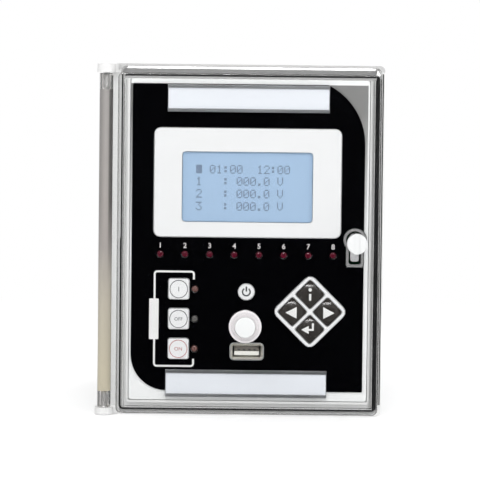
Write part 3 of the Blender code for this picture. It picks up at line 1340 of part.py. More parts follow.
def main():
    """Build every sub-part and hang it on the relay's own origin."""
    clear_scene()
    materials = make_materials()
    build_flange(materials)
    build_hinge_pins(materials)
    build_gasket(materials)
    cover = build_cover(materials)
    carried = [*build_lock(materials), *build_plunger(materials)]
    build_front_plate(materials)
    build_facia(materials)
    build_display(materials)
    build_lamps(materials)
    build_keys(materials)
    build_nav_frame(materials)
    build_socket(materials)
    label_top = FILM_TOP - LABEL_TOP_MARGIN - LABEL_HEIGHT
    build_label_holder("top", label_top, materials)
    build_label_holder("bottom", FILM_BOTTOM + LABEL_BOTTOM_MARGIN, materials)
    build_keeper(materials)
    build_case(materials)
    build_earth_screw(materials)
    build_terminal_block("terminal_block_1", -TERMINAL_FROM_MIDDLE, materials)
    build_terminal_block("terminal_block_2", TERMINAL_FROM_MIDDLE, materials)
    build_clamp("left", -1, materials)
    build_clamp("right", 1, materials)
    build_front_board(materials)
    build_inside(materials)

    for piece in carried:
        carry(piece, cover)
    relay = bpy.data.objects.new("relay", None)
    relay.location = (-OUTER_MIDDLE_X, -OUTER_MIDDLE_Y, 0.0)
    bpy.context.scene.collection.objects.link(relay)
    for piece in bpy.data.objects:
        if piece is not relay and piece.parent is None:
            piece.parent = relay


main()
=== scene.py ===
"""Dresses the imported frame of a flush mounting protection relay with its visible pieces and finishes."""
import math

import bmesh
import bpy
from mathutils import Matrix, Quaternion, Vector


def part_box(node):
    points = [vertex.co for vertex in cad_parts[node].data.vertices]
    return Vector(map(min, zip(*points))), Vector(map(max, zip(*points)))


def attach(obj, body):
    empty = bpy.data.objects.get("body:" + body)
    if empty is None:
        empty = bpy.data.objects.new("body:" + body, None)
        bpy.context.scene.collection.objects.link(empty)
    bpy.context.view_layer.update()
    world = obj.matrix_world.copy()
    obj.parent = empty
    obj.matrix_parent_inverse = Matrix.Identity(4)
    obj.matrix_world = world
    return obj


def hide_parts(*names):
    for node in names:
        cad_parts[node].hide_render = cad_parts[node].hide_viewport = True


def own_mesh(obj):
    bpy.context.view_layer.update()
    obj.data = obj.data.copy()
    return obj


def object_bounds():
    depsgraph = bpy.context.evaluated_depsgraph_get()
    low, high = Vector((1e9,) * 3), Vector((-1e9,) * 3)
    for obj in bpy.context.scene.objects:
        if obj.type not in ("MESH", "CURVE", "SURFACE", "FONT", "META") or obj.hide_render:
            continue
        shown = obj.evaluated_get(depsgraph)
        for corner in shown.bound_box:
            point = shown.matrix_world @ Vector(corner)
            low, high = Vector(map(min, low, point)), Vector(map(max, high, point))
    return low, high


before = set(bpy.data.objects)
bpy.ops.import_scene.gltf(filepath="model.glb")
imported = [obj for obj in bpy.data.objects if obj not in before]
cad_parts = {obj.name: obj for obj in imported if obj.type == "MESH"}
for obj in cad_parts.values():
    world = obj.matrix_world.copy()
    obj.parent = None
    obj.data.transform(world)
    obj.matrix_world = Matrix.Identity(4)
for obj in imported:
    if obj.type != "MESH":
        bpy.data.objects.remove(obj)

bl_info = {
    "name": "Protection relay looks",
    "version": (1, 0, 0),
    "blender": (4, 5, 0),
    "location": "3D View > Sidebar > Relay",
    "description": "Builds the visible pieces and finishes of a protection relay around its frame",
    "category": "Object",
}

CAD_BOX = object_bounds()
MM = 0.001

# Lengths from here on are in millimetres, until a piece is finished
TINY = 0.0005
GAP = 0.3
INK = 0.06
OVERCUT = 1.0
FULL_TURN = 2 * math.pi
LED_COUNT = 8
BUMP_STRENGTH = 0.3
METAL_RELIEF = 0.004

# How a domed key's face rises from its middle: a power of the distance
CROWN = 2.0

# The dots of each character of the display, row by row from the top
DOTS = {
    "0": "01110 10001 10011 10101 11001 10001 01110",
    "1": "00100 01100 00100 00100 00100 00100 01110",
    "2": "01110 10001 00001 00010 00100 01000 11111",
    "3": "11111 00010 00100 00010 00001 10001 01110",
    "V": "10001 10001 10001 10001 10001 01010 00100",
    ":": "00000 01100 01100 00000 01100 01100 00000",
    ".": "00000 00000 00000 00000 00000 01100 01100",
    "#": "11111 11111 11111 11111 11111 11111 11111",
}


def span(node):
    """The lowest and the highest corner of a frame node, in millimetres."""
    low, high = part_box(node)
    return low / MM, high / MM


def centre(node):
    """The middle of a frame node's box, in millimetres."""
    low, high = span(node)
    return (low + high) / 2


COVER_LOW, COVER_HIGH = span("cover")
FACE = span("facia")[0].y
COVER_LEFT = -53.45
COVER_FRONT = -105.55
COVER_WALL = 2.5
SIDE_DRAFT = 1.6
END_DRAFT = 2.6
HINGE = Vector((-59.65, -78.95, 0))
GUIDE = Vector((2.85, 0, 42.3))
LOCK = Vector((51.15, 0, 78.9))
BARREL_ENDS = ((3.0, 10.6), (144.5, 152.0))
KEY_BACK = -78.65
STEM_FRONT = -78.9
STEM_RADIUS = 1.8
SCREW_HEAD_REACH = 3.3
SCREW_TURN = 0.7
REAR_PLATE_FACE = 96.25
TERMINAL_FLOOR = 105.55


def sheet_face(bm, low, high, y, corner=0.0, steps=6):
    """Adds an upright face that looks towards -Y, between two (x, z) corners, and rounds its corners."""
    middle = Vector(((low[0] + high[0]) / 2, y, (low[1] + high[1]) / 2))
    size = Matrix.Diagonal((high[0] - low[0], high[1] - low[1], 1, 1))
    stand = Matrix.Translation(middle) @ Matrix.Rotation(math.pi / 2, 4, "X") @ size
    made = bmesh.ops.create_grid(bm, x_segments=1, y_segments=1, size=0.5, matrix=stand)["verts"]
    if corner:
        bmesh.ops.bevel(bm, geom=made, offset=corner, segments=steps, profile=0.5, affect="VERTICES",
                        material=-1)
    return bm


def swivelled(bm, degrees):
    """Turns bm about the Y axis."""
    bmesh.ops.rotate(bm, cent=(0, 0, 0), matrix=Matrix.Rotation(math.radians(degrees), 3, "Y"),
                     verts=bm.verts)


def pulled(bm, depth):
    """Turns the flat faces of bm into a closed slab that reaches depth further back."""
    made = bmesh.ops.extrude_face_region(bm, geom=list(bm.faces))["geom"]
    back = [item for item in made if isinstance(item, bmesh.types.BMVert)]
    bmesh.ops.translate(bm, vec=(0, depth, 0), verts=back)
    bmesh.ops.recalc_face_normals(bm, faces=bm.faces)
    return back


def eased(bm, y, width, steps=3):
    """Rounds the outline of a slab where it lies at y."""
    rim = [edge for edge in bm.edges if all(abs(vert.co.y - y) < TINY for vert in edge.verts)]
    bmesh.ops.bevel(bm, geom=rim, offset=width, segments=steps, profile=0.5, affect="EDGES", material=-1)
    return bm


def slab(low, high, corner=0.0, edge=0.0, steps=6, edge_steps=3):
    """A closed slab between two corners, with its upright corners and its front outline rounded."""
    bm = sheet_face(bmesh.new(), (low[0], low[2]), (high[0], high[2]), low[1], corner, steps)
    pulled(bm, high[1] - low[1])
    if edge:
        eased(bm, low[1], edge, edge_steps)
    return bm


def turned(profile, place, steps=48, upright=False, angle=FULL_TURN, closed=False):
    """Spins (radius, reach) points about a line along Y, or along Z, through place."""
    bm = bmesh.new()
    points = [bm.verts.new((radius, reach, 0)) for radius, reach in profile]
    edges = [bm.edges.new(pair) for pair in zip(points, points[1:])]
    if closed:
        edges.append(bm.edges.new((points[-1], points[0])))
    whole = abs(angle - FULL_TURN) < TINY
    bmesh.ops.spin(bm, geom=points + edges, cent=(0, 0, 0), axis=(0, 1, 0), angle=angle, steps=steps,
                   use_merge=whole)
    if not whole:
        bmesh.ops.holes_fill(bm, edges=bm.edges)
    bmesh.ops.remove_doubles(bm, verts=bm.verts, dist=TINY)
    if upright:
        bmesh.ops.rotate(bm, cent=(0, 0, 0), matrix=Matrix.Rotation(math.pi / 2, 3, "X"), verts=bm.verts)
    bmesh.ops.translate(bm, vec=place, verts=bm.verts)
    bmesh.ops.recalc_face_normals(bm, faces=bm.faces)
    return bm


def disc(radius, front, back, place, edge=0.0, steps=48):
    """A closed round disc along Y with its front edge rounded."""
    arc = [(radius - edge + edge * math.sin(turn), front + edge - edge * math.cos(turn))
           for turn in (0, math.pi / 6, math.pi / 3, math.pi / 2)] if edge else [(radius, front)]
    return turned([(0, front)] + arc + [(radius, back), (0, back)], place, steps)


def mesh_of(bm, name="shape"):
    """Turns bm into a mesh and frees it."""
    mesh = bpy.data.meshes.new(name)
    bm.to_mesh(mesh)
    bm.free()
    return mesh


def joined(*shapes):
    """One bmesh with all the shapes in it."""
    whole = bmesh.new()
    for shape in shapes:
        mesh = mesh_of(shape)
        whole.from_mesh(mesh)
        bpy.data.meshes.remove(mesh)
    return whole


def combined(bm, *steps):
    """bm after each step, a Boolean operation and its shape, in turn."""
    objects = [bpy.data.objects.new("combined", mesh_of(bm))]
    for operation, shape in steps:
        objects.append(bpy.data.objects.new("operand", mesh_of(shape)))
        modifier = objects[0].modifiers.new(operation, "BOOLEAN")
        modifier.operation = operation
        modifier.solver = "EXACT"
        modifier.object = objects[-1]
    for item in objects:
        bpy.context.scene.collection.objects.link(item)
    done = objects[0].evaluated_get(bpy.context.evaluated_depsgraph_get())
    result = bmesh.new()
    result.from_mesh(done.to_mesh())
    done.to_mesh_clear()
    for item in objects:
        mesh = item.data
        bpy.data.objects.remove(item)
        bpy.data.meshes.remove(mesh)
    if not result.faces:
        raise RuntimeError("a combined shape has no faces left")
    return result


def finished(bm, name, body, finish, stands_for=(), sharp=35.0, even=True):
    """Makes bm a piece in metres that rides on a body, has a finish and may stand for frame nodes."""
    bmesh.ops.scale(bm, vec=(MM, MM, MM), verts=bm.verts)
    mesh = mesh_of(bm, name)
    mesh.materials.append(FINISHES[finish])
    mesh.shade_smooth()
    mesh.set_sharp_from_angle(angle=math.radians(sharp))
    piece = bpy.data.objects.new(name, mesh)
    bpy.context.scene.collection.objects.link(piece)
    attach(piece, body)
    if stands_for:
        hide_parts(*stands_for)
    if even:
        flat = piece.modifiers.new("even normals", "WEIGHTED_NORMAL")
        flat.weight = 100
        flat.keep_sharp = True
    return piece


def softened(node, name, body, finish, width, segments=2, screws=(), floor=0.0):
    """Stands a copy of a frame node with rounded edges in its place.

    Where screws are given, the copy loses the screw heads that stand on its floor at those places.
    """
    bm = bmesh.new()
    bm.from_mesh(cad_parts[node].data)
    bmesh.ops.remove_doubles(bm, verts=bm.verts, dist=TINY * MM)
    bmesh.ops.scale(bm, vec=(1 / MM,) * 3, verts=bm.verts)
    heads = [vert for vert in bm.verts if vert.co.y > floor + 0.1 and
             any(math.hypot(vert.co.x - x, vert.co.z - z) < SCREW_HEAD_REACH for x, z in screws)]
    if heads:
        bmesh.ops.delete(bm, geom=heads, context="VERTS")
        bmesh.ops.holes_fill(bm, edges=[edge for edge in bm.edges if edge.is_boundary])
    bmesh.ops.dissolve_limit(bm, angle_limit=math.radians(0.5), verts=bm.verts, edges=bm.edges)
    piece = finished(bm, name, body, finish, (node,), 30.0, False)
    rounding = piece.modifiers.new("rounding", "BEVEL")
    rounding.width = width * MM
    rounding.segments = segments
    rounding.limit_method = "ANGLE"
    rounding.angle_limit = math.radians(30.0)
    rounding.harden_normals = True
    return piece


def slotted(places, radius, height, slot_width, slot_depth):
    """Slotted screw heads that face +Y, one on each place, each turned a little further."""
    head = disc(radius, -height, 0, (0, 0, 0), 0.35, 16)
    groove = slab((-slot_width / 2, -height - OVERCUT, -radius - OVERCUT),
                  (slot_width / 2, slot_depth - height, radius + OVERCUT))
    head = combined(head, ("DIFFERENCE", groove))
    bmesh.ops.rotate(head, cent=(0, 0, 0), matrix=Matrix.Rotation(math.pi, 3, "Z"), verts=head.verts)
    heads = []
    for number, place in enumerate(places):
        copy = head.copy()
        turn = Matrix.Translation(place) @ Matrix.Rotation(number * SCREW_TURN, 4, "Y")
        bmesh.ops.transform(copy, matrix=turn, verts=copy.verts)
        heads.append(copy)
    head.free()
    return joined(*heads)


def lettering(text, height, place, back=False, bold=0.0):
    """Flat characters of a height, centred on place; their front is at its y, and back ones look to +Y."""
    curve = bpy.data.curves.new("lettering", "FONT")
    curve.body = text
    curve.offset = bold
    writer = bpy.data.objects.new("lettering", curve)
    bpy.context.scene.collection.objects.link(writer)
    drawn = writer.evaluated_get(bpy.context.evaluated_depsgraph_get())
    bm = bmesh.new()
    bm.from_mesh(drawn.to_mesh())
    drawn.to_mesh_clear()
    bpy.data.objects.remove(writer)
    bpy.data.curves.remove(curve)
    bmesh.ops.remove_doubles(bm, verts=bm.verts, dist=TINY)
    across = [vert.co.x for vert in bm.verts]
    up = [vert.co.y for vert in bm.verts]
    scale = height / (max(up) - min(up))
    shift = Vector((-(max(across) + min(across)) / 2, -(max(up) + min(up)) / 2, 0))
    bmesh.ops.translate(bm, vec=shift, verts=bm.verts)
    stand = Matrix.Rotation(math.pi if back else 0.0, 4, "Z") @ Matrix.Rotation(math.pi / 2, 4, "X")
    stand = Matrix.Translation(place) @ stand @ Matrix.Diagonal((scale, scale, 1, 1))
    bmesh.ops.transform(bm, matrix=stand, verts=bm.verts)
    pulled(bm, -INK if back else INK)
    return bm


def bar(low, high, y, depth=INK, corner=0.0):
    """A thin printed bar between two (x, z) corners, whose front lies at y."""
    return slab((low[0], y, low[1]), (high[0], y + depth, high[1]), corner, steps=3)


def ring(place, radius, width, y, depth=INK, steps=48, angle=FULL_TURN):
    """A thin printed ring, or an arc of one, about place."""
    profile = [(radius, y), (radius, y + depth), (radius - width, y + depth), (radius - width, y)]
    return turned(profile, (place[0], 0, place[1]), steps, angle=angle, closed=True)


def effect(name, inputs, outputs):
    """A shader node group with its sockets; returns it with its two end nodes."""
    group = bpy.data.node_groups.new(name, "ShaderNodeTree")
    for label, kind, value in inputs:
        group.interface.new_socket(name=label, in_out="INPUT", socket_type=kind).default_value = value
    for label, kind in outputs:
        group.interface.new_socket(name=label, in_out="OUTPUT", socket_type=kind)
    return group, group.nodes.new("NodeGroupInput"), group.nodes.new("NodeGroupOutput")


def feed(tree, value, socket):
    """Links a socket to an input, or sets the input to a plain value."""
    if isinstance(value, bpy.types.NodeSocket):
        tree.links.new(value, socket)
    else:
        socket.default_value = value


def reckoned(tree, operation, *values, clamp=False):
    """A Math node on values and sockets; returns its result."""
    node = tree.nodes.new("ShaderNodeMath")
    node.operation = operation
    node.use_clamp = clamp
    for socket, value in zip(node.inputs, values):
        feed(tree, value, socket)
    return node.outputs[0]


def ramped(tree, high, low, slope):
    """The slope times high less low, kept between 0 and 1."""
    return reckoned(tree, "MULTIPLY", reckoned(tree, "SUBTRACT", high, low), slope, clamp=True)


def swung(tree, value, width, middle):
    """A middle value that swings by a width as value goes from 0 to 1."""
    return reckoned(tree, "MULTIPLY_ADD", reckoned(tree, "SUBTRACT", value, 0.5), width, middle)


def dimmed(tree, level, loss):
    """A level less a share of it."""
    return reckoned(tree, "MULTIPLY", level, reckoned(tree, "SUBTRACT", 1.0, loss))


def mixed(tree, share, first, second, blend="MIX"):
    """A colour Mix node; returns its result."""
    node = tree.nodes.new("ShaderNodeMix")
    node.data_type = "RGBA"
    node.blend_type = blend
    feed(tree, share, node.inputs["Factor"])
    feed(tree, first, node.inputs[6])
    feed(tree, second, node.inputs[7])
    return node.outputs[2]


def noise(tree, scale, detail=3.0, stretch=None):
    """A noise on Object coordinates, drawn out along the axes where stretch says so."""
    place = tree.nodes.new("ShaderNodeTexCoord").outputs["Object"]
    if stretch:
        mapping = tree.nodes.new("ShaderNodeMapping")
        mapping.inputs["Scale"].default_value = stretch
        tree.links.new(place, mapping.inputs["Vector"])
        place = mapping.outputs["Vector"]
    node = tree.nodes.new("ShaderNodeTexNoise")
    node.inputs["Detail"].default_value = detail
    tree.links.new(place, node.inputs["Vector"])
    feed(tree, scale, node.inputs["Scale"])
    return node.outputs["Fac"]


def grain_effect():
    """Fine moulded grain: an uneven colour, an uneven roughness and a height."""
    group, start, end = effect(
        "moulded grain",
        [("Colour", "NodeSocketColor", (1, 1, 1, 1)), ("Scale", "NodeSocketFloat", 2500.0),
         ("Shade Spread", "NodeSocketFloat", 0.03), ("Roughness", "NodeSocketFloat", 0.4),
         ("Roughness Spread", "NodeSocketFloat", 0.08)],
        [("Colour", "NodeSocketColor"), ("Roughness", "NodeSocketFloat"), ("Height", "NodeSocketFloat")])
    fine = noise(group, start.outputs["Scale"], 2.0)
    broad = noise(group, 28.0, 3.0)
    uneven = swung(group, broad, start.outputs["Shade Spread"], 1.0)
    tone = group.nodes.new("ShaderNodeVectorMath")
    tone.operation = "SCALE"
    group.links.new(start.outputs["Colour"], tone.inputs[0])
    group.links.new(uneven, tone.inputs["Scale"])
    group.links.new(tone.outputs[0], end.inputs["Colour"])
    rough = swung(group, fine, start.outputs["Roughness Spread"], start.outputs["Roughness"])
    group.links.new(rough, end.inputs["Roughness"])
    group.links.new(fine, end.inputs["Height"])
    return group


def handled_effect():
    """Edges rubbed by handling and a little dust on what faces up."""
    group, start, end = effect(
        "handling and dust",
        [("Colour", "NodeSocketColor", (1, 1, 1, 1)), ("Roughness", "NodeSocketFloat", 0.4),
         ("Rubbed Colour", "NodeSocketColor", (1, 1, 1, 1)), ("Rubbing", "NodeSocketFloat", 0.3),
         ("Dust", "NodeSocketFloat", 0.1)],
        [("Colour", "NodeSocketColor"), ("Roughness", "NodeSocketFloat")])
    shape = group.nodes.new("ShaderNodeNewGeometry")
    patches = noise(group, 160.0, 4.0)
    edge = ramped(group, shape.outputs["Pointiness"], 0.53, 9.0)
    rubbed = reckoned(group, "MULTIPLY", reckoned(group, "MULTIPLY", edge, patches),
                      start.outputs["Rubbing"], clamp=True)
    apart = group.nodes.new("ShaderNodeSeparateXYZ")
    group.links.new(shape.outputs["Normal"], apart.inputs[0])
    upward = ramped(group, apart.outputs["Z"], 0.6, 2.5)
    dust = reckoned(group, "MULTIPLY", reckoned(group, "MULTIPLY", upward, patches), start.outputs["Dust"],
                    clamp=True)
    worn = mixed(group, rubbed, start.outputs["Colour"], start.outputs["Rubbed Colour"])
    group.links.new(mixed(group, dust, worn, (0.62, 0.6, 0.56, 1)), end.inputs["Colour"])
    rough = reckoned(group, "MULTIPLY_ADD", dust, 0.5, start.outputs["Roughness"])
    group.links.new(reckoned(group, "MULTIPLY_ADD", rubbed, -0.12, rough), end.inputs["Roughness"])
    return group


def drawn_effect():
    """Lines that rolling or drawing leaves in sheet metal, along one axis."""
    group, start, end = effect(
        "drawn metal lines",
        [("Roughness", "NodeSocketFloat", 0.35), ("Roughness Spread", "NodeSocketFloat", 0.2)],
        [("Roughness", "NodeSocketFloat"), ("Height", "NodeSocketFloat")])
    lines = noise(group, 900.0, 3.0, (0.03, 1.0, 1.0))
    rough = swung(group, lines, start.outputs["Roughness Spread"], start.outputs["Roughness"])
    group.links.new(rough, end.inputs["Roughness"])
    group.links.new(lines, end.inputs["Height"])
    return group


EFFECTS = {}
FINISHES = {}


def placed(tree, effect_name, **values):
    """A node that uses a shared effect, with its values or links set by socket name."""
    node = tree.nodes.new("ShaderNodeGroup")
    node.node_tree = EFFECTS[effect_name]
    for label, value in values.items():
        feed(tree, value, node.inputs[label.replace("_", " ")])
    return node


def blank(name):
    """A material with its tree and its Principled shader."""
    material = bpy.data.materials.new(name)
    material.use_nodes = True
    tree = material.node_tree
    return material, tree, tree.nodes["Principled BSDF"]


def bumped(tree, shader, height, relief):
    """Feeds a height to the shader's normal; relief is in millimetres."""
    bump = tree.nodes.new("ShaderNodeBump")
    bump.inputs["Strength"].default_value = BUMP_STRENGTH
    bump.inputs["Distance"].default_value = relief * MM
    tree.links.new(height, bump.inputs["Height"])
    tree.links.new(bump.outputs["Normal"], shader.inputs["Normal"])


def moulding(name, colour, roughness, spread=0.03, relief=0.02, scale=2500.0, rubbing=0.25, dust=0.05,
             specular=0.5, coat=0.0):
    """A moulded or painted finish with grain, rubbed edges and dust."""
    material, tree, shader = blank(name)
    colour = (*colour[:3], 1.0)
    lighter = tuple(min(1.0, value * 1.25 + 0.02) for value in colour[:3])
    grain = placed(tree, "grain", Colour=colour, Scale=scale, Shade_Spread=spread, Roughness=roughness,
                   Roughness_Spread=0.12)
    handled = placed(tree, "handled", Colour=grain.outputs["Colour"], Roughness=grain.outputs["Roughness"],
                     Rubbed_Colour=(*lighter, 1.0), Rubbing=rubbing, Dust=dust)
    tree.links.new(handled.outputs["Colour"], shader.inputs["Base Color"])
    tree.links.new(handled.outputs["Roughness"], shader.inputs["Roughness"])
    shader.inputs["Specular IOR Level"].default_value = specular
    shader.inputs["Coat Weight"].default_value = coat
    shader.inputs["Coat Roughness"].default_value = 0.08
    bumped(tree, shader, grain.outputs["Height"], relief)
    FINISHES[name] = material
    return material


def metal(name, colour, roughness, spread=0.18):
    """A bare or plated metal with drawn lines."""
    material, tree, shader = blank(name)
    lines = placed(tree, "drawn", Roughness=roughness, Roughness_Spread=spread)
    grain = placed(tree, "grain", Colour=(*colour[:3], 1.0), Scale=700.0, Shade_Spread=0.12)
    tree.links.new(grain.outputs["Colour"], shader.inputs["Base Color"])
    tree.links.new(lines.outputs["Roughness"], shader.inputs["Roughness"])
    shader.inputs["Metallic"].default_value = 1.0
    bumped(tree, shader, lines.outputs["Height"], METAL_RELIEF)
    FINISHES[name] = material
    return material


def along(tree, axis, stops):
    """Colours laid along an Object axis, from stops of a place in millimetres and a colour."""
    apart = tree.nodes.new("ShaderNodeSeparateXYZ")
    tree.links.new(tree.nodes.new("ShaderNodeTexCoord").outputs["Object"], apart.inputs[0])
    low, high = stops[0][0], stops[-1][0]
    spread = tree.nodes.new("ShaderNodeMapRange")
    spread.inputs["From Min"].default_value = low * MM
    spread.inputs["From Max"].default_value = high * MM
    tree.links.new(apart.outputs[axis], spread.inputs["Value"])
    ramp = tree.nodes.new("ShaderNodeValToRGB")
    tree.links.new(spread.outputs["Result"], ramp.inputs["Fac"])
    for number, (place, colour) in enumerate(stops):
        share = (place - low) / (high - low)
        point = ramp.color_ramp.elements[number] if number < 2 else ramp.color_ramp.elements.new(share)
        point.position = share
        point.color = (*colour[:3], 1.0)
    return ramp.outputs["Color"]


def tinted(material, colour):
    """Feeds a colour to a moulding in place of its plain one."""
    tree = material.node_tree
    grain = next(node for node in tree.nodes if node.type == "GROUP" and "Shade Spread" in node.inputs)
    tree.links.new(colour, grain.inputs["Colour"])
    return material


def grey(level):
    """A neutral colour of a level."""
    return (level, level, level)


def shaded_plate(name, low, high):
    """A painted plate, pale at its foot and darker towards its head by painted shade from the cover's top
    wall, with a pale top and right rim that the painted shade leaves out.
    """
    material = moulding(name, low, 0.45, 0.03, 0.015, rubbing=0.0, dust=0.0)
    tree = material.node_tree
    # Painted shade: darker towards the head of the plate, under the cover's top wall.
    shade = along(tree, "Z", [(70.0, low), (135.0, high)])
    over = along(tree, "Z", [(147.2, grey(0.0)), (147.5, grey(1.0))])
    beside = along(tree, "X", [(56.2, grey(0.0)), (56.5, grey(1.0))])
    rim = mixed(tree, 1.0, over, beside, "LIGHTEN")
    return tinted(material, mixed(tree, rim, shade, (*low, 1.0)))


def shaded_flange(name, colour):
    """The flange's moulding, in shade on its top strip and on the ledge beside the cover's right wall."""
    material = moulding(name, colour, 0.42, 0.02, 0.015, rubbing=0.1)
    tree = material.node_tree
    ledge = along(tree, "X", [(57.2, grey(1.0)), (59.4, grey(0.28)), (61.1, grey(0.28)), (61.3, grey(1.0))])
    within = along(tree, "Z", [(3.4, grey(0.0)), (3.6, grey(1.0)), (152.4, grey(1.0)), (152.6, grey(0.0))])
    head = along(tree, "Z", [(152.6, grey(1.0)), (153.6, grey(0.66))])
    ears = along(tree, "X", [(-55.5, grey(0.0)), (-53.5, grey(1.0))])
    shade = mixed(tree, within, mixed(tree, ears, (1, 1, 1, 1), head), ledge)
    return tinted(material, mixed(tree, 1.0, (*colour, 1.0), shade, "MULTIPLY"))


def shaded_barrel(name):
    """A tinted barrel, taupe and warmer towards its foot, with painted shade across its upper part: darker
    at its left edge, paler down its middle and a dark band down its right side.
    """
    material = moulding(name, grey(0.4), 0.3, 0.04, 0.01, rubbing=0.0, dust=0.0)
    tree = material.node_tree
    warm = along(tree, "Z", [(20.0, (0.56, 0.51, 0.39)), (50.0, (0.50, 0.46, 0.38)),
                             (75.0, (0.385, 0.355, 0.335)), (150.0, (0.35, 0.335, 0.325))])
    # Painted shade across the round barrel, left to right; below its middle it gives way to an even grey.
    painted_shade_bands = along(tree, "X", [(-62.65, grey(0.6)), (-61.6, grey(0.72)), (-59.8, grey(1.0)),
                              (-58.6, grey(0.95)), (-57.9, grey(0.3)), (-56.65, grey(0.25))])
    fading = along(tree, "Z", [(60.0, grey(0.0)), (95.0, grey(1.0))])
    painted_shade_bands = mixed(tree, fading, (*grey(0.92), 1.0), painted_shade_bands)
    lit_through(material, 0.85)
    return tinted(material, mixed(tree, 1.0, warm, painted_shade_bands, "MULTIPLY"))


def lit_through(material, passing):
    """Lets lamp light and scattered light straight through a finish, at a share."""
    tree = material.node_tree
    path = tree.nodes.new("ShaderNodeLightPath")
    through = tree.nodes.new("ShaderNodeBsdfTransparent")
    through.inputs["Color"].default_value = (*grey(passing), 1.0)
    choice = tree.nodes.new("ShaderNodeMixShader")
    lit = reckoned(tree, "MAXIMUM", path.outputs["Is Shadow Ray"], path.outputs["Is Diffuse Ray"])
    tree.links.new(lit, choice.inputs[0])
    tree.links.new(tree.nodes["Principled BSDF"].outputs["BSDF"], choice.inputs[1])
    tree.links.new(through.outputs["BSDF"], choice.inputs[2])
    tree.links.new(choice.outputs[0], tree.nodes["Material Output"].inputs["Surface"])
    return material


def frosted(name, tint, roughness):
    """A milky clear moulding that scatters the light it lets through."""
    material = moulding(name, tint, roughness, 0.02, 0.02, rubbing=0.0, dust=0.0)
    material.node_tree.nodes["Principled BSDF"].inputs["Transmission Weight"].default_value = 0.15
    return lit_through(material, 0.9)


def clear(name, tint, roughness, passing, density=0.0):
    """A clear moulding that lets lamp light through to what is behind it."""
    material, tree, shader = blank(name)
    grain = placed(tree, "grain", Colour=(*tint[:3], 1.0), Scale=60.0, Shade_Spread=0.01,
                   Roughness=roughness, Roughness_Spread=0.02)
    tree.links.new(grain.outputs["Colour"], shader.inputs["Base Color"])
    tree.links.new(grain.outputs["Roughness"], shader.inputs["Roughness"])
    shader.inputs["Transmission Weight"].default_value = 1.0
    shader.inputs["IOR"].default_value = 1.49
    lit_through(material, passing)
    if density:
        depth = tree.nodes.new("ShaderNodeVolumeAbsorption")
        depth.inputs["Color"].default_value = (0.5, 0.5, 0.5, 1.0)
        depth.inputs["Density"].default_value = density
        tree.links.new(depth.outputs["Volume"], tree.nodes["Material Output"].inputs["Volume"])
    FINISHES[name] = material
    return material


class RelayLooks(bpy.types.PropertyGroup):
    """Sizes and colours of the relay that may be changed before its pieces are built."""

    housing: bpy.props.FloatVectorProperty(
        name="Housing", description="Colour of the flange, the display frame and the keys", size=3,
        subtype="COLOR", default=(0.82, 0.82, 0.815), min=0.0, max=1.0)
    facia: bpy.props.FloatVectorProperty(
        name="Facia", description="Colour of the printed film", size=3, subtype="COLOR",
        default=(0.0006, 0.0006, 0.0012), min=0.0, max=1.0)
    display: bpy.props.FloatVectorProperty(
        name="Display", description="Colour of the lit display", size=3, subtype="COLOR",
        default=(0.44, 0.61, 0.83), min=0.0, max=1.0)
    lamp: bpy.props.FloatVectorProperty(
        name="Lamps", description="Colour of the unlit indicator lamps", size=3, subtype="COLOR",
        default=(0.095, 0.004, 0.016), min=0.0, max=1.0)
    dark_key: bpy.props.FloatVectorProperty(
        name="Dark keys", description="Colour of the four keys of the diamond", size=3, subtype="COLOR",
        default=(0.040, 0.036, 0.033), min=0.0, max=1.0)
    cover_edge: bpy.props.FloatProperty(
        name="Cover edge", description="Rounding of the cover's front edges", default=0.7 * MM, min=0.0002,
        max=0.002, unit="LENGTH")
    cover_corner: bpy.props.FloatProperty(
        name="Cover corner", description="Rounding of the cover's four long corners", default=2.5 * MM,
        min=0.001, max=0.006, unit="LENGTH")
    key_edge: bpy.props.FloatProperty(
        name="Key edge", description="Rounding of the square keys' front edges", default=0.4 * MM,
        min=0.0001, max=0.001, unit="LENGTH")
    lamp_power: bpy.props.FloatProperty(
        name="Studio light", description="Strength of the soft lamps over the object", default=1.0, min=0.0,
        max=5.0)


def looks():
    """The user's sizes and colours."""
    return bpy.context.scene.relay_looks


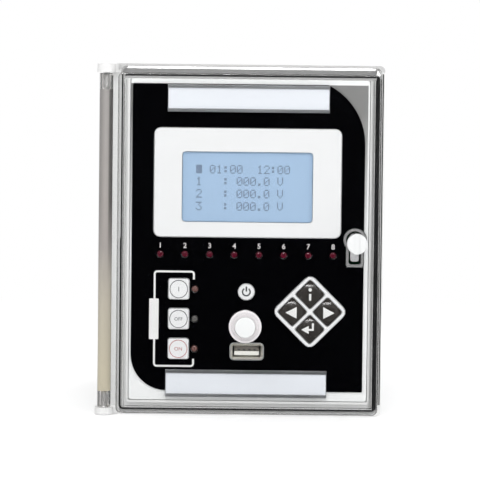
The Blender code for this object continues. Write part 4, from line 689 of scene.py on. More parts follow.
class RELAY_OT_finishes(bpy.types.Operator):
    """Makes the shared effects and every finish of the relay"""

    bl_idname = "relay.finishes"
    bl_label = "Finishes"

    def execute(self, context):
        chosen = looks()
        EFFECTS.update(grain=grain_effect(), handled=handled_effect(), drawn=drawn_effect())
        white = tuple(chosen.housing)
        moulding("white_moulding", white, 0.42, 0.02, 0.015, rubbing=0.1)
        # Painted light: the display frame, keys and power lens sit behind the clear cover, so this copy of
        # their white plastic is made paler to offset the cover's shade.
        moulding("bezel_white_paled_for_cover_shade", (0.87, 0.875, 0.88), 0.36, 0.02, 0.012, rubbing=0.1)
        # Painted light: the knob and the reset plunger are the same white plastic in front of the cover,
        # made darker to offset the stronger light there.
        moulding("knob_white_darkened_for_open_light", (0.78, 0.79, 0.79), 0.34, 0.02, 0.012, rubbing=0.1)
        shaded_plate("plate_moulding_painted_shade", (0.95, 0.96, 0.96), (0.24, 0.24, 0.235))
        frosted("frosted_moulding", (0.94, 0.90, 0.915), 0.35)
        moulding("grey_moulding", (0.27, 0.27, 0.27), 0.45, 0.05, 0.02)
        moulding("tongue_moulding", (0.80, 0.80, 0.81), 0.25, 0.05, 0.01)
        moulding("dark_moulding", tuple(chosen.dark_key), 0.16, 0.06, 0.001, 3200.0, 0.15, 0.0, coat=0.5)
        moulding("black_moulding", (0.016, 0.016, 0.017), 0.52, 0.1, 0.03, 1800.0, 0.35, 0.3)
        moulding("black_film", tuple(chosen.facia), 0.36, 0.1, 0.001, 5000.0, 0.0, 0.0, specular=0.04)
        moulding("display", tuple(chosen.display), 0.3, 0.05, 0.002, 900.0, 0.0, 0.0, specular=0.3)
        moulding("display_mark", (0.19, 0.25, 0.36), 0.4, 0.1, 0.002, rubbing=0.0, dust=0.0)
        moulding("lamp", tuple(chosen.lamp), 0.16, 0.1, 0.004, rubbing=0.0, dust=0.0, coat=0.6)
        moulding("dull_red_lamp", (0.17, 0.085, 0.075), 0.3, 0.1, 0.004, rubbing=0.0, dust=0.0)
        moulding("grey_lamp", (0.12, 0.115, 0.11), 0.3, 0.1, 0.004, rubbing=0.0, dust=0.0)
        moulding("case_paint", (0.30, 0.31, 0.315), 0.55, 0.05, 0.05, 1300.0, 0.4, 0.35)
        moulding("core", (0.075, 0.078, 0.085), 0.6, 0.15, 0.04, 900.0, 0.4, 0.2)
        moulding("circuit_board", (0.012, 0.085, 0.035), 0.4, 0.1, 0.01, 1500.0, 0.1, 0.1)
        moulding("rubber", (0.012, 0.012, 0.013), 0.75, 0.1, 0.03, 2000.0, 0.1, 0.2)
        moulding("label_paper", (0.84, 0.87, 0.92), 0.62, 0.02, 0.006, 3500.0, 0.0, 0.0)
        for ink, colour in (("white_ink", (0.86, 0.86, 0.85)), ("pale_ink", (0.74, 0.70, 0.70)),
                            ("grey_ink", (0.045, 0.045, 0.05)), ("red_ink", (0.50, 0.17, 0.17))):
            moulding(ink, colour, 0.5, 0.04, 0.002, rubbing=0.0, dust=0.0)
        moulding("cream_moulding", (0.97, 0.96, 0.90), 0.45, 0.05, 0.01)
        moulding("grey_brown", (0.20, 0.185, 0.16), 0.5, 0.05, 0.01)
        metal("steel", (0.56, 0.54, 0.51), 0.3)
        metal("bright_steel", (0.93, 0.93, 0.93), 0.5)
        metal("zinc_plate", (0.50, 0.51, 0.53), 0.38, 0.25)
        metal("socket_plate", (0.90, 0.88, 0.83), 0.55, 0.15)
        clear("clear_moulding", (0.985, 0.99, 0.99), 0.015, 0.99, 22.0)
        clear("barrel_end_moulding", (0.90, 0.89, 0.88), 0.05, 0.97)
        shaded_barrel("barrel_moulding")
        shaded_flange("flange_moulding", white)
        return {"FINISHED"}


class RELAY_OT_flange(bpy.types.Operator):
    """Builds the mounting flange, its hinge pins, the seal round its rim and a thin dark strip of painted
    shadow beside the cover's right wall
    """

    bl_idname = "relay.flange"
    bl_label = "Flange"

    def execute(self, context):
        softened("mounting_flange", "flange_moulding", "case", "flange_moulding", 0.3)
        for end, outward in (("bottom", -1), ("top", 1)):
            low, high = span("hinge_pin_" + end)
            inner, outer = (high.z, low.z) if outward < 0 else (low.z, high.z)
            head = outer - 0.9 * outward
            profile = [(0, inner), (1.1, inner), (1.5, inner + 0.5 * outward), (1.5, head), (2.3, head),
                       (2.3, outer - 0.3 * outward), (2.0, outer), (0, outer)]
            pin = turned(profile, HINGE, 32, upright=True)
            finished(pin, "hinge_pin_" + end + "_turned", "case", "bright_steel",
                     ("hinge_pin_" + end,))
        # A flat ring under the cover's wall, and a thin dark strip beside the cover's right wall, which is
        # painted shadow standing for the shade in the gap between the cover's foot and the flange.
        low, high = span("cover_gasket")
        seal = slab((-52.85, low.y, 3.1), (61.0, high.y, 154.85), 2.0)
        hole = slab((-52.15, low.y - OVERCUT, 3.7), (59.9, high.y + OVERCUT, 152.9), 1.4)
        painted_shadow_strip = slab((62.7, -75.78, 5.0), (63.2, high.y, 152.5), 0.2)
        finished(joined(combined(seal, ("DIFFERENCE", hole)), painted_shadow_strip), "cover_seal_with_painted_shadow", "case",
                 "rubber", ("cover_gasket",))
        return {"FINISHED"}


class RELAY_OT_cover(bpy.types.Operator):
    """Builds the clear cover with its hinge barrel, guide collar and lock hole"""

    bl_idname = "relay.cover"
    bl_label = "Clear cover"

    def execute(self, context):
        chosen = looks()
        right, back = COVER_HIGH.x, COVER_HIGH.y
        bottom, top = COVER_LOW.z, COVER_HIGH.z

        def tub(inset, front, rear, corner, edge):
            bm = slab((COVER_LEFT + inset, front, bottom + inset), (right - inset, rear, top - inset),
                      corner, steps=8)
            reach = (back - front) / (back - COVER_FRONT)
            width = right - COVER_LEFT - 2 * inset
            height = top - bottom - 2 * inset
            middle = (top + bottom) / 2
            for vert in bm.verts:
                if vert.co.y < front + TINY:
                    across = (vert.co.x - COVER_LEFT - inset) / width
                    vert.co.x -= SIDE_DRAFT * reach * across
                    vert.co.z = middle + (vert.co.z - middle) * (1 - 2 * END_DRAFT * reach / height)
            return eased(bm, front, edge, 5)

        shell = tub(0.0, COVER_FRONT, back, chosen.cover_corner / MM, chosen.cover_edge / MM)
        inside = tub(COVER_WALL, COVER_FRONT + COVER_WALL, back + OVERCUT, 0.6, 0.4)
        profile = [(0, 3.4), (2.7, 3.4), (3.0, 3.7), (3.0, 151.4), (2.7, 151.7), (0, 151.7)]
        barrel = turned(profile, HINGE, 48, upright=True)
        web = slab((HINGE.x + 2.4, HINGE.y - 1.25, 4.4), (COVER_LEFT + 1.25, HINGE.y + 1.25, 150.7), 0.4)
        collar = disc(7.15, COVER_LOW.y, COVER_FRONT + 1.0, GUIDE, 0.6, 56)
        bore = disc(5.5, COVER_LOW.y - OVERCUT, -104.25, GUIDE, 0, 56)
        rod_hole = disc(2.8, COVER_LOW.y - OVERCUT, -100.0, GUIDE, 0, 40)
        lock_hole = disc(2.3, COVER_LOW.y - OVERCUT, -100.0, LOCK, 0, 40)
        steps = [("UNION", web), ("UNION", collar), ("DIFFERENCE", inside), ("DIFFERENCE", bore),
                 ("DIFFERENCE", rod_hole), ("DIFFERENCE", lock_hole)]
        bores = []
        for low, high in BARREL_ENDS:
            pin_bore = turned([(0, low), (1.8, low), (1.8, high), (0, high)], HINGE, 32, upright=True)
            bores.append(("DIFFERENCE", pin_bore))
        ends = [slab((HINGE.x - 4, HINGE.y - 4, low), (HINGE.x + 4, HINGE.y + 4, high))
                for low, high in BARREL_ENDS]
        middle = combined(barrel.copy(), *(("DIFFERENCE", end.copy()) for end in ends))
        finished(middle, "hinge_barrel", "cover", "barrel_moulding", (), 25.0)
        ends = combined(barrel, ("INTERSECT", joined(*ends)), *bores)
        finished(ends, "hinge_barrel_ends", "cover", "barrel_end_moulding", (), 25.0)
        finished(combined(shell, *steps), "clear_cover", "cover", "clear_moulding",
                 ("cover",), 25.0)
        lip, foot = COVER_LOW.y, COVER_FRONT - 0.02
        profile = [(4.8, lip + 0.8), (5.75, lip + 0.5), (5.85, lip + 0.9), (6.1, lip + 0.9),
                   (6.2, lip + 0.2), (6.8, lip + 0.2), (7.1, lip + 0.6), (7.1, foot), (4.8, foot)]
        lining = turned(profile, GUIDE, 56, closed=True)
        profile = [(2.9, -104.35), (5.45, -104.35), (5.45, -104.28), (2.9, -104.28)]
        floor = turned(profile, GUIDE, 56, closed=True)
        finished(joined(lining, floor), "guide_collar_frosting", "cover",
                 "frosted_moulding")
        return {"FINISHED"}


class RELAY_OT_lock(bpy.types.Operator):
    """Builds the slotted knob, its tongue and the keyhole plate"""

    bl_idname = "relay.lock"
    bl_label = "Lock"

    def execute(self, context):
        low, high = span("lock_knob")
        slot_low = (LOCK.x - 1.3, low.y - OVERCUT, LOCK.z - 6)
        slot_high = (LOCK.x + 1.3, low.y + 0.8, LOCK.z + 6)
        front, back = low.y, high.y
        profile = [(0, front), (3.95, front), (4.2, front + 0.07), (4.38, front + 0.25),
                   (4.45, front + 0.5), (4.45, front + 3.4), (4.15, front + 3.7), (2.0, front + 3.7),
                   (2.0, back), (0, back)]
        knob = combined(turned(profile, LOCK, 56), ("DIFFERENCE", slab(slot_low, slot_high)))
        finished(knob, "lock_knob_slotted", "lock", "knob_white_darkened_for_open_light", ("lock_knob",))
        softened("lock_tongue", "lock_tongue_moulded", "lock", "tongue_moulding", 0.15)
        softened("lock_keeper", "lock_keeper_moulded", "case", "grey_moulding", 0.15)
        return {"FINISHED"}


class RELAY_OT_plunger(bpy.types.Operator):
    """Builds the reset plunger, its clip and its return spring"""

    bl_idname = "relay.plunger"
    bl_label = "Reset plunger"

    def execute(self, context):
        low, high = span("reset_plunger")
        clip_low, clip_high = span("plunger_clip")
        front = low.y
        profile = [(0, front), (3.9, front), (4.2, front + 0.08), (4.42, front + 0.28), (4.5, front + 0.6),
                   (4.5, front + 2.7), (4.2, front + 3.0), (2.5, front + 3.0), (2.5, clip_low.y),
                   (1.9, clip_low.y), (1.9, clip_high.y), (2.5, clip_high.y), (2.5, high.y - 0.4),
                   (2.1, high.y), (0, high.y)]
        finished(turned(profile, GUIDE, 56), "reset_plunger_turned", "plunger",
                 "knob_white_darkened_for_open_light", ("reset_plunger",))
        softened("plunger_clip", "plunger_clip_pressed", "plunger", "steel", 0.06)
        low, high = span("plunger_spring")
        wire, radius, turns, points, share_kept = 0.35, 3.7, 2.5, 90, 0.457
        start, rise = low.y + wire, high.y - low.y - 2 * wire
        bm = bmesh.new()
        stand = Matrix.Translation((GUIDE.x + radius, start, GUIDE.z))
        ends = bmesh.ops.create_circle(bm, cap_ends=True, segments=8, radius=wire, matrix=stand)["verts"]
        bmesh.ops.spin(bm, geom=ends + list(bm.edges) + list(bm.faces), cent=GUIDE, axis=(0, 1, 0),
                       dvec=(0, rise / points, 0), angle=turns * FULL_TURN, steps=points, use_merge=False)
        bmesh.ops.recalc_face_normals(bm, faces=bm.faces)
        spring = finished(bm, "plunger_spring_wire", "cover", "steel", ("plunger_spring",),
                          even=False)
        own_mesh(spring)
        return {"FINISHED"}


class RELAY_OT_facia(bpy.types.Operator):
    """Finishes the front plate and the film and prints the film's lines and numbers"""

    bl_idname = "relay.facia"
    bl_label = "Facia"

    def execute(self, context):
        softened("front_plate", "front_plate_moulded", "case", "plate_moulding_painted_shade", 0.2)
        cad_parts["facia"].data.materials[0] = FINISHES["black_film"]
        y = FACE - INK
        left, right, bottom, top, line = -37.95, -19.7, 21.5, 64.45, 0.85
        bend = 1.6
        marks = [bar((left, bottom + bend), (left + line, top - bend), y),
                 bar((left + bend, top - line), (right - bend, top), y),
                 bar((left + bend, bottom), (right - bend, bottom + line), y),
                 bar((right - line, 60.55), (right, top - bend), y),
                 bar((right - line, bottom + bend), (right, 25.2), y)]
        for x, z, start in ((left + bend, top - bend, 180), (left + bend, bottom + bend, 90),
                            (right - bend, top - bend, 270), (right - bend, bottom + bend, 0)):
            corner = ring((0, 0), bend, line, y, steps=8, angle=math.pi / 2)
            swivelled(corner, start)
            bmesh.ops.translate(corner, vec=(x, 0, z), verts=corner.verts)
            marks.append(corner)
        marks.append(bar((-39.85, 33.8), (-35.65, 51.9), y - INK, 2 * INK, 0.3))
        finished(joined(*marks), "printed_key_bracket", "case", "white_ink")
        numbers = []
        for number in range(LED_COUNT):
            lamp = centre("led_" + str(number + 1))
            numbers.append(lettering(str(number + 1), 2.3, (lamp.x, y, 75.7), bold=0.012))
        finished(joined(*numbers), "printed_lamp_numbers", "case", "pale_ink")
        return {"FINISHED"}


class RELAY_OT_display(bpy.types.Operator):
    """Builds the display frame, the window and the lit panel with its characters"""

    bl_idname = "relay.display"
    bl_label = "Display"

    def execute(self, context):
        low, high = span("lcd_bezel")
        window_low, window_high = span("lcd_window")
        seat = slab((window_low.x - GAP, window_low.y - 0.1, window_low.z - GAP),
                    (window_high.x + GAP, high.y + OVERCUT, window_high.z + GAP), 2.0)
        opening = slab((window_low.x, low.y - OVERCUT, window_low.z),
                       (window_high.x, high.y + OVERCUT, window_high.z), 1.7, steps=8)
        bezel = combined(slab(low, high, 2.9, 0.5, 8, 4), ("DIFFERENCE", seat), ("DIFFERENCE", opening))
        finished(bezel, "display_bezel", "case", "bezel_white_paled_for_cover_shade", ("lcd_bezel",))
        finished(slab(window_low, window_high, 1.7), "display_window", "case",
                 "clear_moulding", ("lcd_window",))
        low, high = span("lcd_panel")
        face = slab((window_low.x + 0.2, window_high.y + 0.25, window_low.z + 0.2),
                    (window_high.x - 0.2, low.y - 0.02, window_high.z - 0.2), 1.4)
        finished(face, "display_glass", "case", "display")
        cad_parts["lcd_panel"].data.materials[0] = FINISHES["display"]
        y = window_high.y + 0.25 - 0.04
        rows = ("# 01:00  12:00", "1   : 000.0 V", "2   : 000.0 V", "3   : 000.0 V")
        tops = (111.6, 106.3, 100.8, 95.2)
        left, pitch, across, down = -19.6, 3.0, 0.52, 0.55
        dot_width, dot_height, dot_depth = 0.46, 0.49, 0.03
        marks = []
        for top, text in zip(tops, rows):
            for column, letter in enumerate(text.ljust(14)):
                for line, dots in enumerate(DOTS.get(letter, "").split()):
                    z = top - down * (line + 1)
                    for place, dot in enumerate(dots):
                        if dot == "1":
                            x = left + pitch * column + across * place
                            marks.append(bar((x, z), (x + dot_width, z + dot_height), y, dot_depth))
        finished(joined(*marks), "display_characters", "case", "display_mark")
        return {"FINISHED"}


class RELAY_OT_lamps(bpy.types.Operator):
    """Builds the indicator lamps, the key lamps and the power lens"""

    bl_idname = "relay.lamps"
    bl_label = "Lamps"

    def execute(self, context):
        lamps = [("led_" + str(number + 1), "lamp", "lamp") for number in range(LED_COUNT)]
        lamps += [("key_led_1", "dull_red_lamp", "dull_red_lamp"), ("key_led_2", "lamp", "grey_lamp"),
                  ("key_led_3", "dull_red_lamp", "dull_red_lamp")]
        for node, slot, finish in lamps:
            low, high = span(node)
            place = centre(node)
            place.y = 0
            profile = [(0, low.y), (0.6, low.y + 0.03), (1.0, low.y + 0.12), (1.3, low.y + 0.28),
                       (1.45, low.y + 0.55), (1.45, high.y - 1.5), (1.8, high.y - 1.5), (1.8, high.y),
                       (0, high.y)]
            finished(turned(profile, place, 32), node + "_lens", "case", finish, (node,))
        low, high = span("power_lens")
        place = centre("power_lens")
        place.y = 0
        finished(disc(3.55, low.y, high.y, place, 0.25), "power_lens_disc", "case",
                 "bezel_white_paled_for_cover_shade", ("power_lens",))
        y = low.y - INK + 0.01
        arc = ring((0, 0), 2.0, 0.62, y, steps=40, angle=math.radians(290))
        swivelled(arc, -55)
        bmesh.ops.translate(arc, vec=place, verts=arc.verts)
        stroke = bar((place.x - 0.33, place.z + 0.2), (place.x + 0.33, place.z + 2.4), y)
        finished(joined(arc, stroke), "power_mark", "case", "grey_ink")
        return {"FINISHED"}


class RELAY_OT_keys(bpy.types.Operator):
    """Builds the three square keys with their ring and mark"""

    bl_idname = "relay.keys"
    bl_label = "Square keys"

    def execute(self, context):
        marks = (("1", 2.0, "grey_ink"), ("OFF", 1.5, "grey_ink"), ("ON", 1.6, "red_ink"))
        for number, (text, height, ink) in enumerate(marks, 1):
            node = "key_" + str(number)
            low, high = span(node)
            place = centre(node)
            cap = slab(low, (high.x, KEY_BACK, high.z), 1.0, looks().key_edge / MM, 6, 4)
            stem = disc(STEM_RADIUS, STEM_FRONT, high.y, (place.x, 0, place.z), 0, 24)
            profile = [(0, low.y - OVERCUT), (3.75, low.y - OVERCUT), (3.75, low.y),
                       (3.6, low.y + 0.12), (0, low.y + 0.2)]
            dish = turned(profile, (place.x, 0, place.z), 48)
            key = combined(cap, ("UNION", stem), ("DIFFERENCE", dish))
            finished(key, node + "_cap", node, "bezel_white_paled_for_cover_shade", (node,))
            printed = [lettering(text, height, (place.x, low.y + 0.12, place.z)),
                       ring((place.x, place.z), 4.05, 0.3, low.y - 0.02, 0.04)]
            finished(joined(*printed), node + "_mark", node, ink)
        return {"FINISHED"}


def triangle(points):
    """A thin mark with three (x, z) corners and its front at y = 0."""
    bm = bmesh.new()
    bm.faces.new([bm.verts.new((x, 0, z)) for x, z in points])
    pulled(bm, INK)
    return bm


def dome(place, x, z, front, radius, height):
    """The y of a domed key's face at a point: a shallow round dome, flat outside its radius."""
    away = math.hypot(x - place[0], z - place[1])
    share = min(1.0, away / radius)
    return front + height * share ** CROWN


class RELAY_OT_nav_keys(bpy.types.Operator):
    """Builds the diamond of four domed keys in its white frame"""

    bl_idname = "relay.nav_keys"
    bl_label = "Diamond keys"

    def execute(self, context):
        softened("nav_frame", "nav_frame_moulded", "case", "bezel_white_paled_for_cover_shade", 0.25, 3)
        half, radius, height = 9.23 / 2, 4.55, 0.85
        arrow = ((-3.1, -0.35), (1.9, -2.95), (1.9, 2.25))
        head = ((-3.8, -0.1), (-0.45, -1.9), (-0.45, 1.7))
        symbols = {"up": [disc(0.75, 0, INK, (0, 0, 2.1), 0, 24), bar((-0.5, -2.7), (0.5, 0.3), 0)],
                   "left": [triangle(arrow)],
                   "right": [triangle([(-x, z) for x, z in arrow])],
                   "enter": [triangle(head), bar((-0.6, -0.5), (1.8, 0.35), 0),
                             bar((0.95, -0.5), (1.8, 2.8), 0)]}
        for name, shapes in symbols.items():
            node = "nav_key_" + name
            low, high = span(node)
            place = centre(node)
            spot = (place.x, place.z)
            bm = sheet_face(bmesh.new(), (-half, -half), (half, half), 0, 1.0, 11)
            swivelled(bm, 45)
            outline = list(bm.edges)
            bmesh.ops.delete(bm, geom=list(bm.faces), context="FACES_ONLY")
            made = bmesh.ops.extrude_edge_only(bm, edges=outline)["geom"]
            back = [item for item in made if isinstance(item, bmesh.types.BMVert)]
            back_edges = [item for item in made if isinstance(item, bmesh.types.BMEdge)]
            bmesh.ops.translate(bm, vec=(0, KEY_BACK - low.y - height, 0), verts=back)
            bmesh.ops.contextual_create(bm, geom=back_edges)
            curve = [(radius * step / 12, height * ((step / 12) ** CROWN - 1)) for step in range(12)]
            crown = turned(curve + [(radius - 0.05, -0.02)], (0, 0, 0), 48)
            bm = joined(bm, crown)
            bmesh.ops.remove_doubles(bm, verts=bm.verts, dist=TINY)
            rims = [edge for edge in bm.edges if edge.is_boundary]
            bmesh.ops.bridge_loops(bm, edges=rims)
            bmesh.ops.recalc_face_normals(bm, faces=bm.faces)
            bmesh.ops.translate(bm, vec=(place.x, low.y + height, place.z), verts=bm.verts)
            stem = disc(STEM_RADIUS, STEM_FRONT, high.y, (place.x, 0, place.z), 0, 24)
            finished(joined(bm, stem), node + "_cap", node, "dark_moulding", (node,),
                     12.0, False)
            mark = joined(*shapes)
            bmesh.ops.triangulate(mark, faces=mark.faces)
            bmesh.ops.subdivide_edges(mark, edges=mark.edges, cuts=3, use_grid_fill=True)
            for vert in mark.verts:
                vert.co.x += place.x
                vert.co.z += place.z
                vert.co.y += dome(spot, vert.co.x, vert.co.z, low.y, radius, height) - 0.03
            finished(mark, node + "_mark", node, "white_ink")
        return {"FINISHED"}


class RELAY_OT_socket(bpy.types.Operator):
    """Builds the computer socket's shell, tongue and contacts"""

    bl_idname = "relay.socket"
    bl_label = "Socket"

    def execute(self, context):
        softened("usb_shell", "socket_shell", "case", "socket_plate", 0.08)
        softened("usb_tongue", "socket_tongue", "case", "cream_moulding", 0.1)
        low, high = span("usb_tongue")
        # A thin sheet near the socket's mouth stands for the insulator at the back of the recess; its
        # grey-brown is partly painted shade of the deep recess.
        back = slab((low.x + 0.15, low.y + 0.7, 28.95), (high.x - 0.15, low.y + 1.0, high.z - 0.15), 0.1)
        finished(back, "socket_insulator_painted_shade", "case", "grey_brown")
        contacts = []
        for place in (-3.5, -1.2, 1.2, 3.5):
            x = (low.x + high.x) / 2 + place
            contacts.append(slab((x - 0.45, low.y + 0.5, 28.95), (x + 0.45, low.y + 0.7, 29.7), 0.0, 0.05))
        finished(joined(*contacts), "socket_contacts", "case", "grey_ink")
        return {"FINISHED"}


class RELAY_OT_labels(bpy.types.Operator):
    """Builds the two label channels and their blank strips"""

    bl_idname = "relay.labels"
    bl_label = "Labels"

    def execute(self, context):
        for end in ("top", "bottom"):
            softened("label_rail_" + end, "label_channel_" + end, "case", "zinc_plate",
                     0.12)
            low, high = span("label_strip_" + end)
            finished(slab(low, high, 0.2, 0.05), "label_blank_" + end, "case",
                     "label_paper", ("label_strip_" + end,))
        return {"FINISHED"}


class RELAY_OT_case(bpy.types.Operator):
    """Finishes the case, its rear plate, clamps and earth screw"""

    bl_idname = "relay.case"
    bl_label = "Case"

    def execute(self, context):
        softened("case_shell", "case_box", "case", "case_paint", 0.3)
        low, high = span("rear_plate")
        inset, face = 6.0, REAR_PLATE_FACE
        corners = [(x, z) for x in (low.x + inset, high.x - inset) for z in (low.z + inset, high.z - inset)]
        softened("rear_plate", "rear_cover_plate", "case", "case_paint", 0.2, 2, corners,
                 face)
        heads = slotted([(x, face, z) for x, z in corners], 2.5, 1.5, 0.7, 0.8)
        finished(heads, "rear_plate_screws", "case", "steel")
        for side in ("left", "right"):
            softened("panel_clamp_" + side, "panel_clamp_plate_" + side, "case",
                     "zinc_plate", 0.2)
            softened("clamp_screw_" + side, "clamp_screw_head_" + side, "case", "steel", 0.12)
        softened("earth_screw", "earth_stud", "case", "steel", 0.15)
        return {"FINISHED"}


class RELAY_OT_terminals(bpy.types.Operator):
    """Builds the two terminal blocks at the back with their screws and numbers"""

    bl_idname = "relay.terminals"
    bl_label = "Terminals"

    def execute(self, context):
        rows, away, rib, floor = 8, 8.0, 1.6, TERMINAL_FLOOR
        screws, numbers = [], []
        low, high = span("terminal_block_1")
        pitch = (high.z - low.z - rib) / rows
        for block in (1, 2):
            node = "terminal_block_" + str(block)
            middle = centre(node).x
            places = [(middle + side * away, high.z - rib / 2 - pitch * (row + 0.5))
                      for row in range(rows) for side in (1, -1)]
            softened(node, node + "_moulded", "case", "black_moulding", 0.2, 1,
                     places, floor)
            screws += [(x, floor, z) for x, z in places]
            for number, (x, z) in enumerate(places, 2 * rows * (block - 1) + 1):
                toward = middle + (2.4 if x > middle else -2.4)
                numbers.append(lettering(str(number), 2.6, (toward, floor + INK, z), back=True))
        finished(slotted(screws, 3.0, 2.0, 0.9, 0.9), "terminal_screws", "case", "steel")
        finished(joined(*numbers), "terminal_numbers", "case", "white_ink")
        return {"FINISHED"}


class RELAY_OT_inside(bpy.types.Operator):
    """Finishes the pieces inside the case"""

    bl_idname = "relay.inside"
    bl_label = "Inside"

    def execute(self, context):
        plain = {"chassis_tray": "zinc_plate", "front_board": "circuit_board",
                 "main_board": "circuit_board", "supply_board": "circuit_board",
                 "rear_connector": "black_moulding", "input_transformer_1": "core",
                 "input_transformer_2": "core", "input_transformer_3": "core"}
        for node, finish in plain.items():
            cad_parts[node].data.materials[0] = FINISHES[finish]
        return {"FINISHED"}


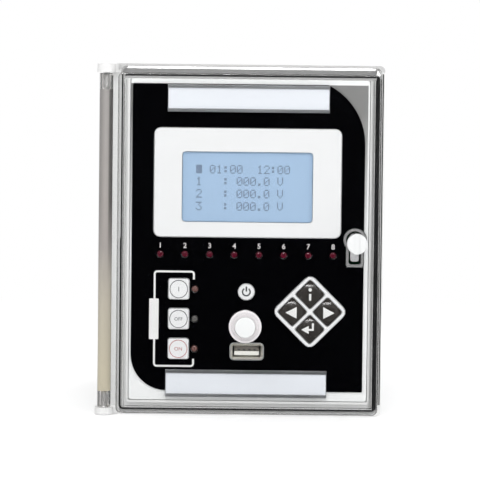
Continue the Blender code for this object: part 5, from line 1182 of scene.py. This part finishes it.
class RELAY_OT_stage(bpy.types.Operator):
    """Makes the floor, the background, the soft lamps and the camera"""

    bl_idname = "relay.stage"
    bl_label = "Stage"

    def execute(self, context):
        scene = context.scene
        scene.view_settings.view_transform = "Standard"
        material, tree, shader = blank("floor")
        shader.inputs["Base Color"].default_value = (0.9, 0.9, 0.9, 1)
        shader.inputs["Roughness"].default_value = 0.9
        shader.inputs["Specular IOR Level"].default_value = 0.0
        path = tree.nodes.new("ShaderNodeLightPath")
        seen = reckoned(tree, "MAXIMUM", path.outputs["Is Camera Ray"], path.outputs["Is Transmission Ray"])
        tree.links.new(reckoned(tree, "MULTIPLY", seen, 0.35), shader.inputs["Emission Strength"])
        shader.inputs["Emission Color"].default_value = (1, 1, 1, 1)
        place = tree.nodes.new("ShaderNodeTexCoord")
        away = tree.nodes.new("ShaderNodeVectorMath")
        away.operation = "LENGTH"
        tree.links.new(place.outputs["Object"], away.inputs[0])
        far = ramped(tree, away.outputs["Value"], 0.22, 3.0)
        glow = tree.nodes.new("ShaderNodeEmission")
        choice = tree.nodes.new("ShaderNodeMixShader")
        tree.links.new(reckoned(tree, "MULTIPLY", far, seen), choice.inputs[0])
        tree.links.new(shader.outputs["BSDF"], choice.inputs[1])
        tree.links.new(glow.outputs["Emission"], choice.inputs[2])
        tree.links.new(choice.outputs[0], tree.nodes["Material Output"].inputs["Surface"])
        bm = bmesh.new()
        bmesh.ops.create_grid(bm, x_segments=8, y_segments=8, size=4.0)
        mesh = mesh_of(bm, "floor")
        mesh.materials.append(material)
        floor = bpy.data.objects.new("floor", mesh)
        floor.location.z = CAD_BOX[0].z - 0.0002
        floor.visible_glossy = False
        floor.visible_transmission = False
        scene.collection.objects.link(floor)
        self.background(scene)
        power = looks().lamp_power
        lamps = (("key lamp", (-0.75, -1.25, 1.15), (1.1, 1.1), 4.4),
                 ("fill lamp", (1.05, -1.1, 0.45), (1.1, 1.1), 4.6),
                 ("strip lamp", (-0.05, -1.25, 0.81), (0.85, 0.2), 5.8),
                 ("top lamp", (0.0, 0.1, 1.5), (1.2, 1.2), 3.8),
                 ("back lamp", (0.6, 1.4, 0.8), (1.0, 1.0), 8.0),
                 ("foot lamp", (0.0, -1.2, 0.09), (0.9, 0.15), 1.5))
        for name, place, size, watts in lamps:
            data = bpy.data.lights.new(name, "AREA")
            data.shape = "RECTANGLE"
            data.size, data.size_y = size
            data.energy = watts * power
            lamp = bpy.data.objects.new(name, data)
            lamp.location = place
            aim = Vector((0, -0.03, 0.08)) - Vector(place)
            lamp.rotation_euler = aim.to_track_quat("-Z", "Y").to_euler()
            lamp.visible_camera = False
            lamp.visible_transmission = name == "strip lamp"
            lamp.visible_glossy = name != "foot lamp"
            scene.collection.objects.link(lamp)
        camera = bpy.data.objects.new("camera", bpy.data.cameras.new("camera"))
        camera.data.sensor_width = 36.0
        camera.data.lens = 237.0
        camera.data.clip_start, camera.data.clip_end = 0.1, 20.0
        camera.location = Vector((2.35, -1478.55, 166.0)) * MM
        aim = Vector((0.15, -78.55, 78.3)) * MM - camera.location
        roll = Quaternion((0, 0, 1), math.radians(0.65))
        camera.rotation_euler = (aim.to_track_quat("-Z", "Y") @ roll).to_euler()
        scene.collection.objects.link(camera)
        scene.camera = camera
        return {"FINISHED"}

    def background(self, scene):
        """White to the eye, plain on the object, and dark behind the camera where gloss would mirror it."""
        ambient, grazed = 0.48, 0.45
        scene.world = bpy.data.worlds.new("studio")
        scene.world.use_nodes = True
        tree = scene.world.node_tree
        path = tree.nodes.new("ShaderNodeLightPath")
        seen = reckoned(tree, "MAXIMUM", path.outputs["Is Camera Ray"], path.outputs["Is Transmission Ray"])
        seen = reckoned(tree, "MAXIMUM", seen, path.outputs["Is Glossy Ray"])
        direct = reckoned(tree, "LESS_THAN", path.outputs["Diffuse Depth"], 0.5)
        shown = reckoned(tree, "MULTIPLY", seen, direct)
        level = reckoned(tree, "MULTIPLY_ADD", shown, 1 - ambient, ambient)
        place = tree.nodes.new("ShaderNodeTexCoord")
        apart = tree.nodes.new("ShaderNodeSeparateXYZ")
        tree.links.new(place.outputs["Generated"], apart.inputs[0])
        front = ramped(tree, -0.80, apart.outputs["Y"], 8.0)
        low = ramped(tree, 0.4, apart.outputs["Z"], 5.0)
        mirrored = reckoned(tree, "GREATER_THAN", path.outputs["Glossy Depth"], 0.5)
        mirrored = reckoned(tree, "MULTIPLY", mirrored, shown)
        shade = reckoned(tree, "MULTIPLY", reckoned(tree, "MULTIPLY", front, low), mirrored)
        level = dimmed(tree, level, shade)
        behind = ramped(tree, apart.outputs["Y"], 0.85, 12.0)
        behind = reckoned(tree, "MULTIPLY", reckoned(tree, "MULTIPLY", behind, mirrored), 1 - grazed)
        level = dimmed(tree, level, behind)
        within = reckoned(tree, "GREATER_THAN", path.outputs["Transmission Depth"], 0.5)
        within = reckoned(tree, "MULTIPLY", within, mirrored)
        inner = reckoned(tree, "MULTIPLY_ADD", apart.outputs["Z"], 0.4, 0.3, clamp=True)
        level = dimmed(tree, level, dimmed(tree, within, inner))
        tree.links.new(level, tree.nodes["Background"].inputs["Strength"])
        tree.nodes["Background"].inputs["Color"].default_value = (1, 1, 1, 1)
        scene.world.cycles.sampling_method = "NONE"


PIECES = (RELAY_OT_finishes, RELAY_OT_stage, RELAY_OT_flange, RELAY_OT_cover, RELAY_OT_lock,
          RELAY_OT_plunger, RELAY_OT_facia, RELAY_OT_display, RELAY_OT_lamps, RELAY_OT_keys,
          RELAY_OT_nav_keys, RELAY_OT_socket, RELAY_OT_labels, RELAY_OT_case, RELAY_OT_terminals,
          RELAY_OT_inside)


class RELAY_PT_panel(bpy.types.Panel):
    """Lists the relay's sizes, colours and pieces"""

    bl_idname = "RELAY_PT_panel"
    bl_label = "Protection relay"
    bl_space_type = "VIEW_3D"
    bl_region_type = "UI"
    bl_category = "Relay"

    def draw(self, context):
        for name in RelayLooks.__annotations__:
            self.layout.prop(context.scene.relay_looks, name)
        for piece in PIECES:
            self.layout.operator(piece.bl_idname)


CLASSES = (RelayLooks, *PIECES, RELAY_PT_panel)


def register():
    """Registers the classes and their settings."""
    for item in CLASSES:
        bpy.utils.register_class(item)
    bpy.types.Scene.relay_looks = bpy.props.PointerProperty(type=RelayLooks)


def unregister():
    """Takes the settings and the classes away again."""
    del bpy.types.Scene.relay_looks
    for item in reversed(CLASSES):
        bpy.utils.unregister_class(item)


def main():
    """Builds every piece in order."""
    register()
    for piece in PIECES:
        family, name = piece.bl_idname.split(".")
        getattr(getattr(bpy.ops, family), name)()


if __name__ == "__main__":
    main()
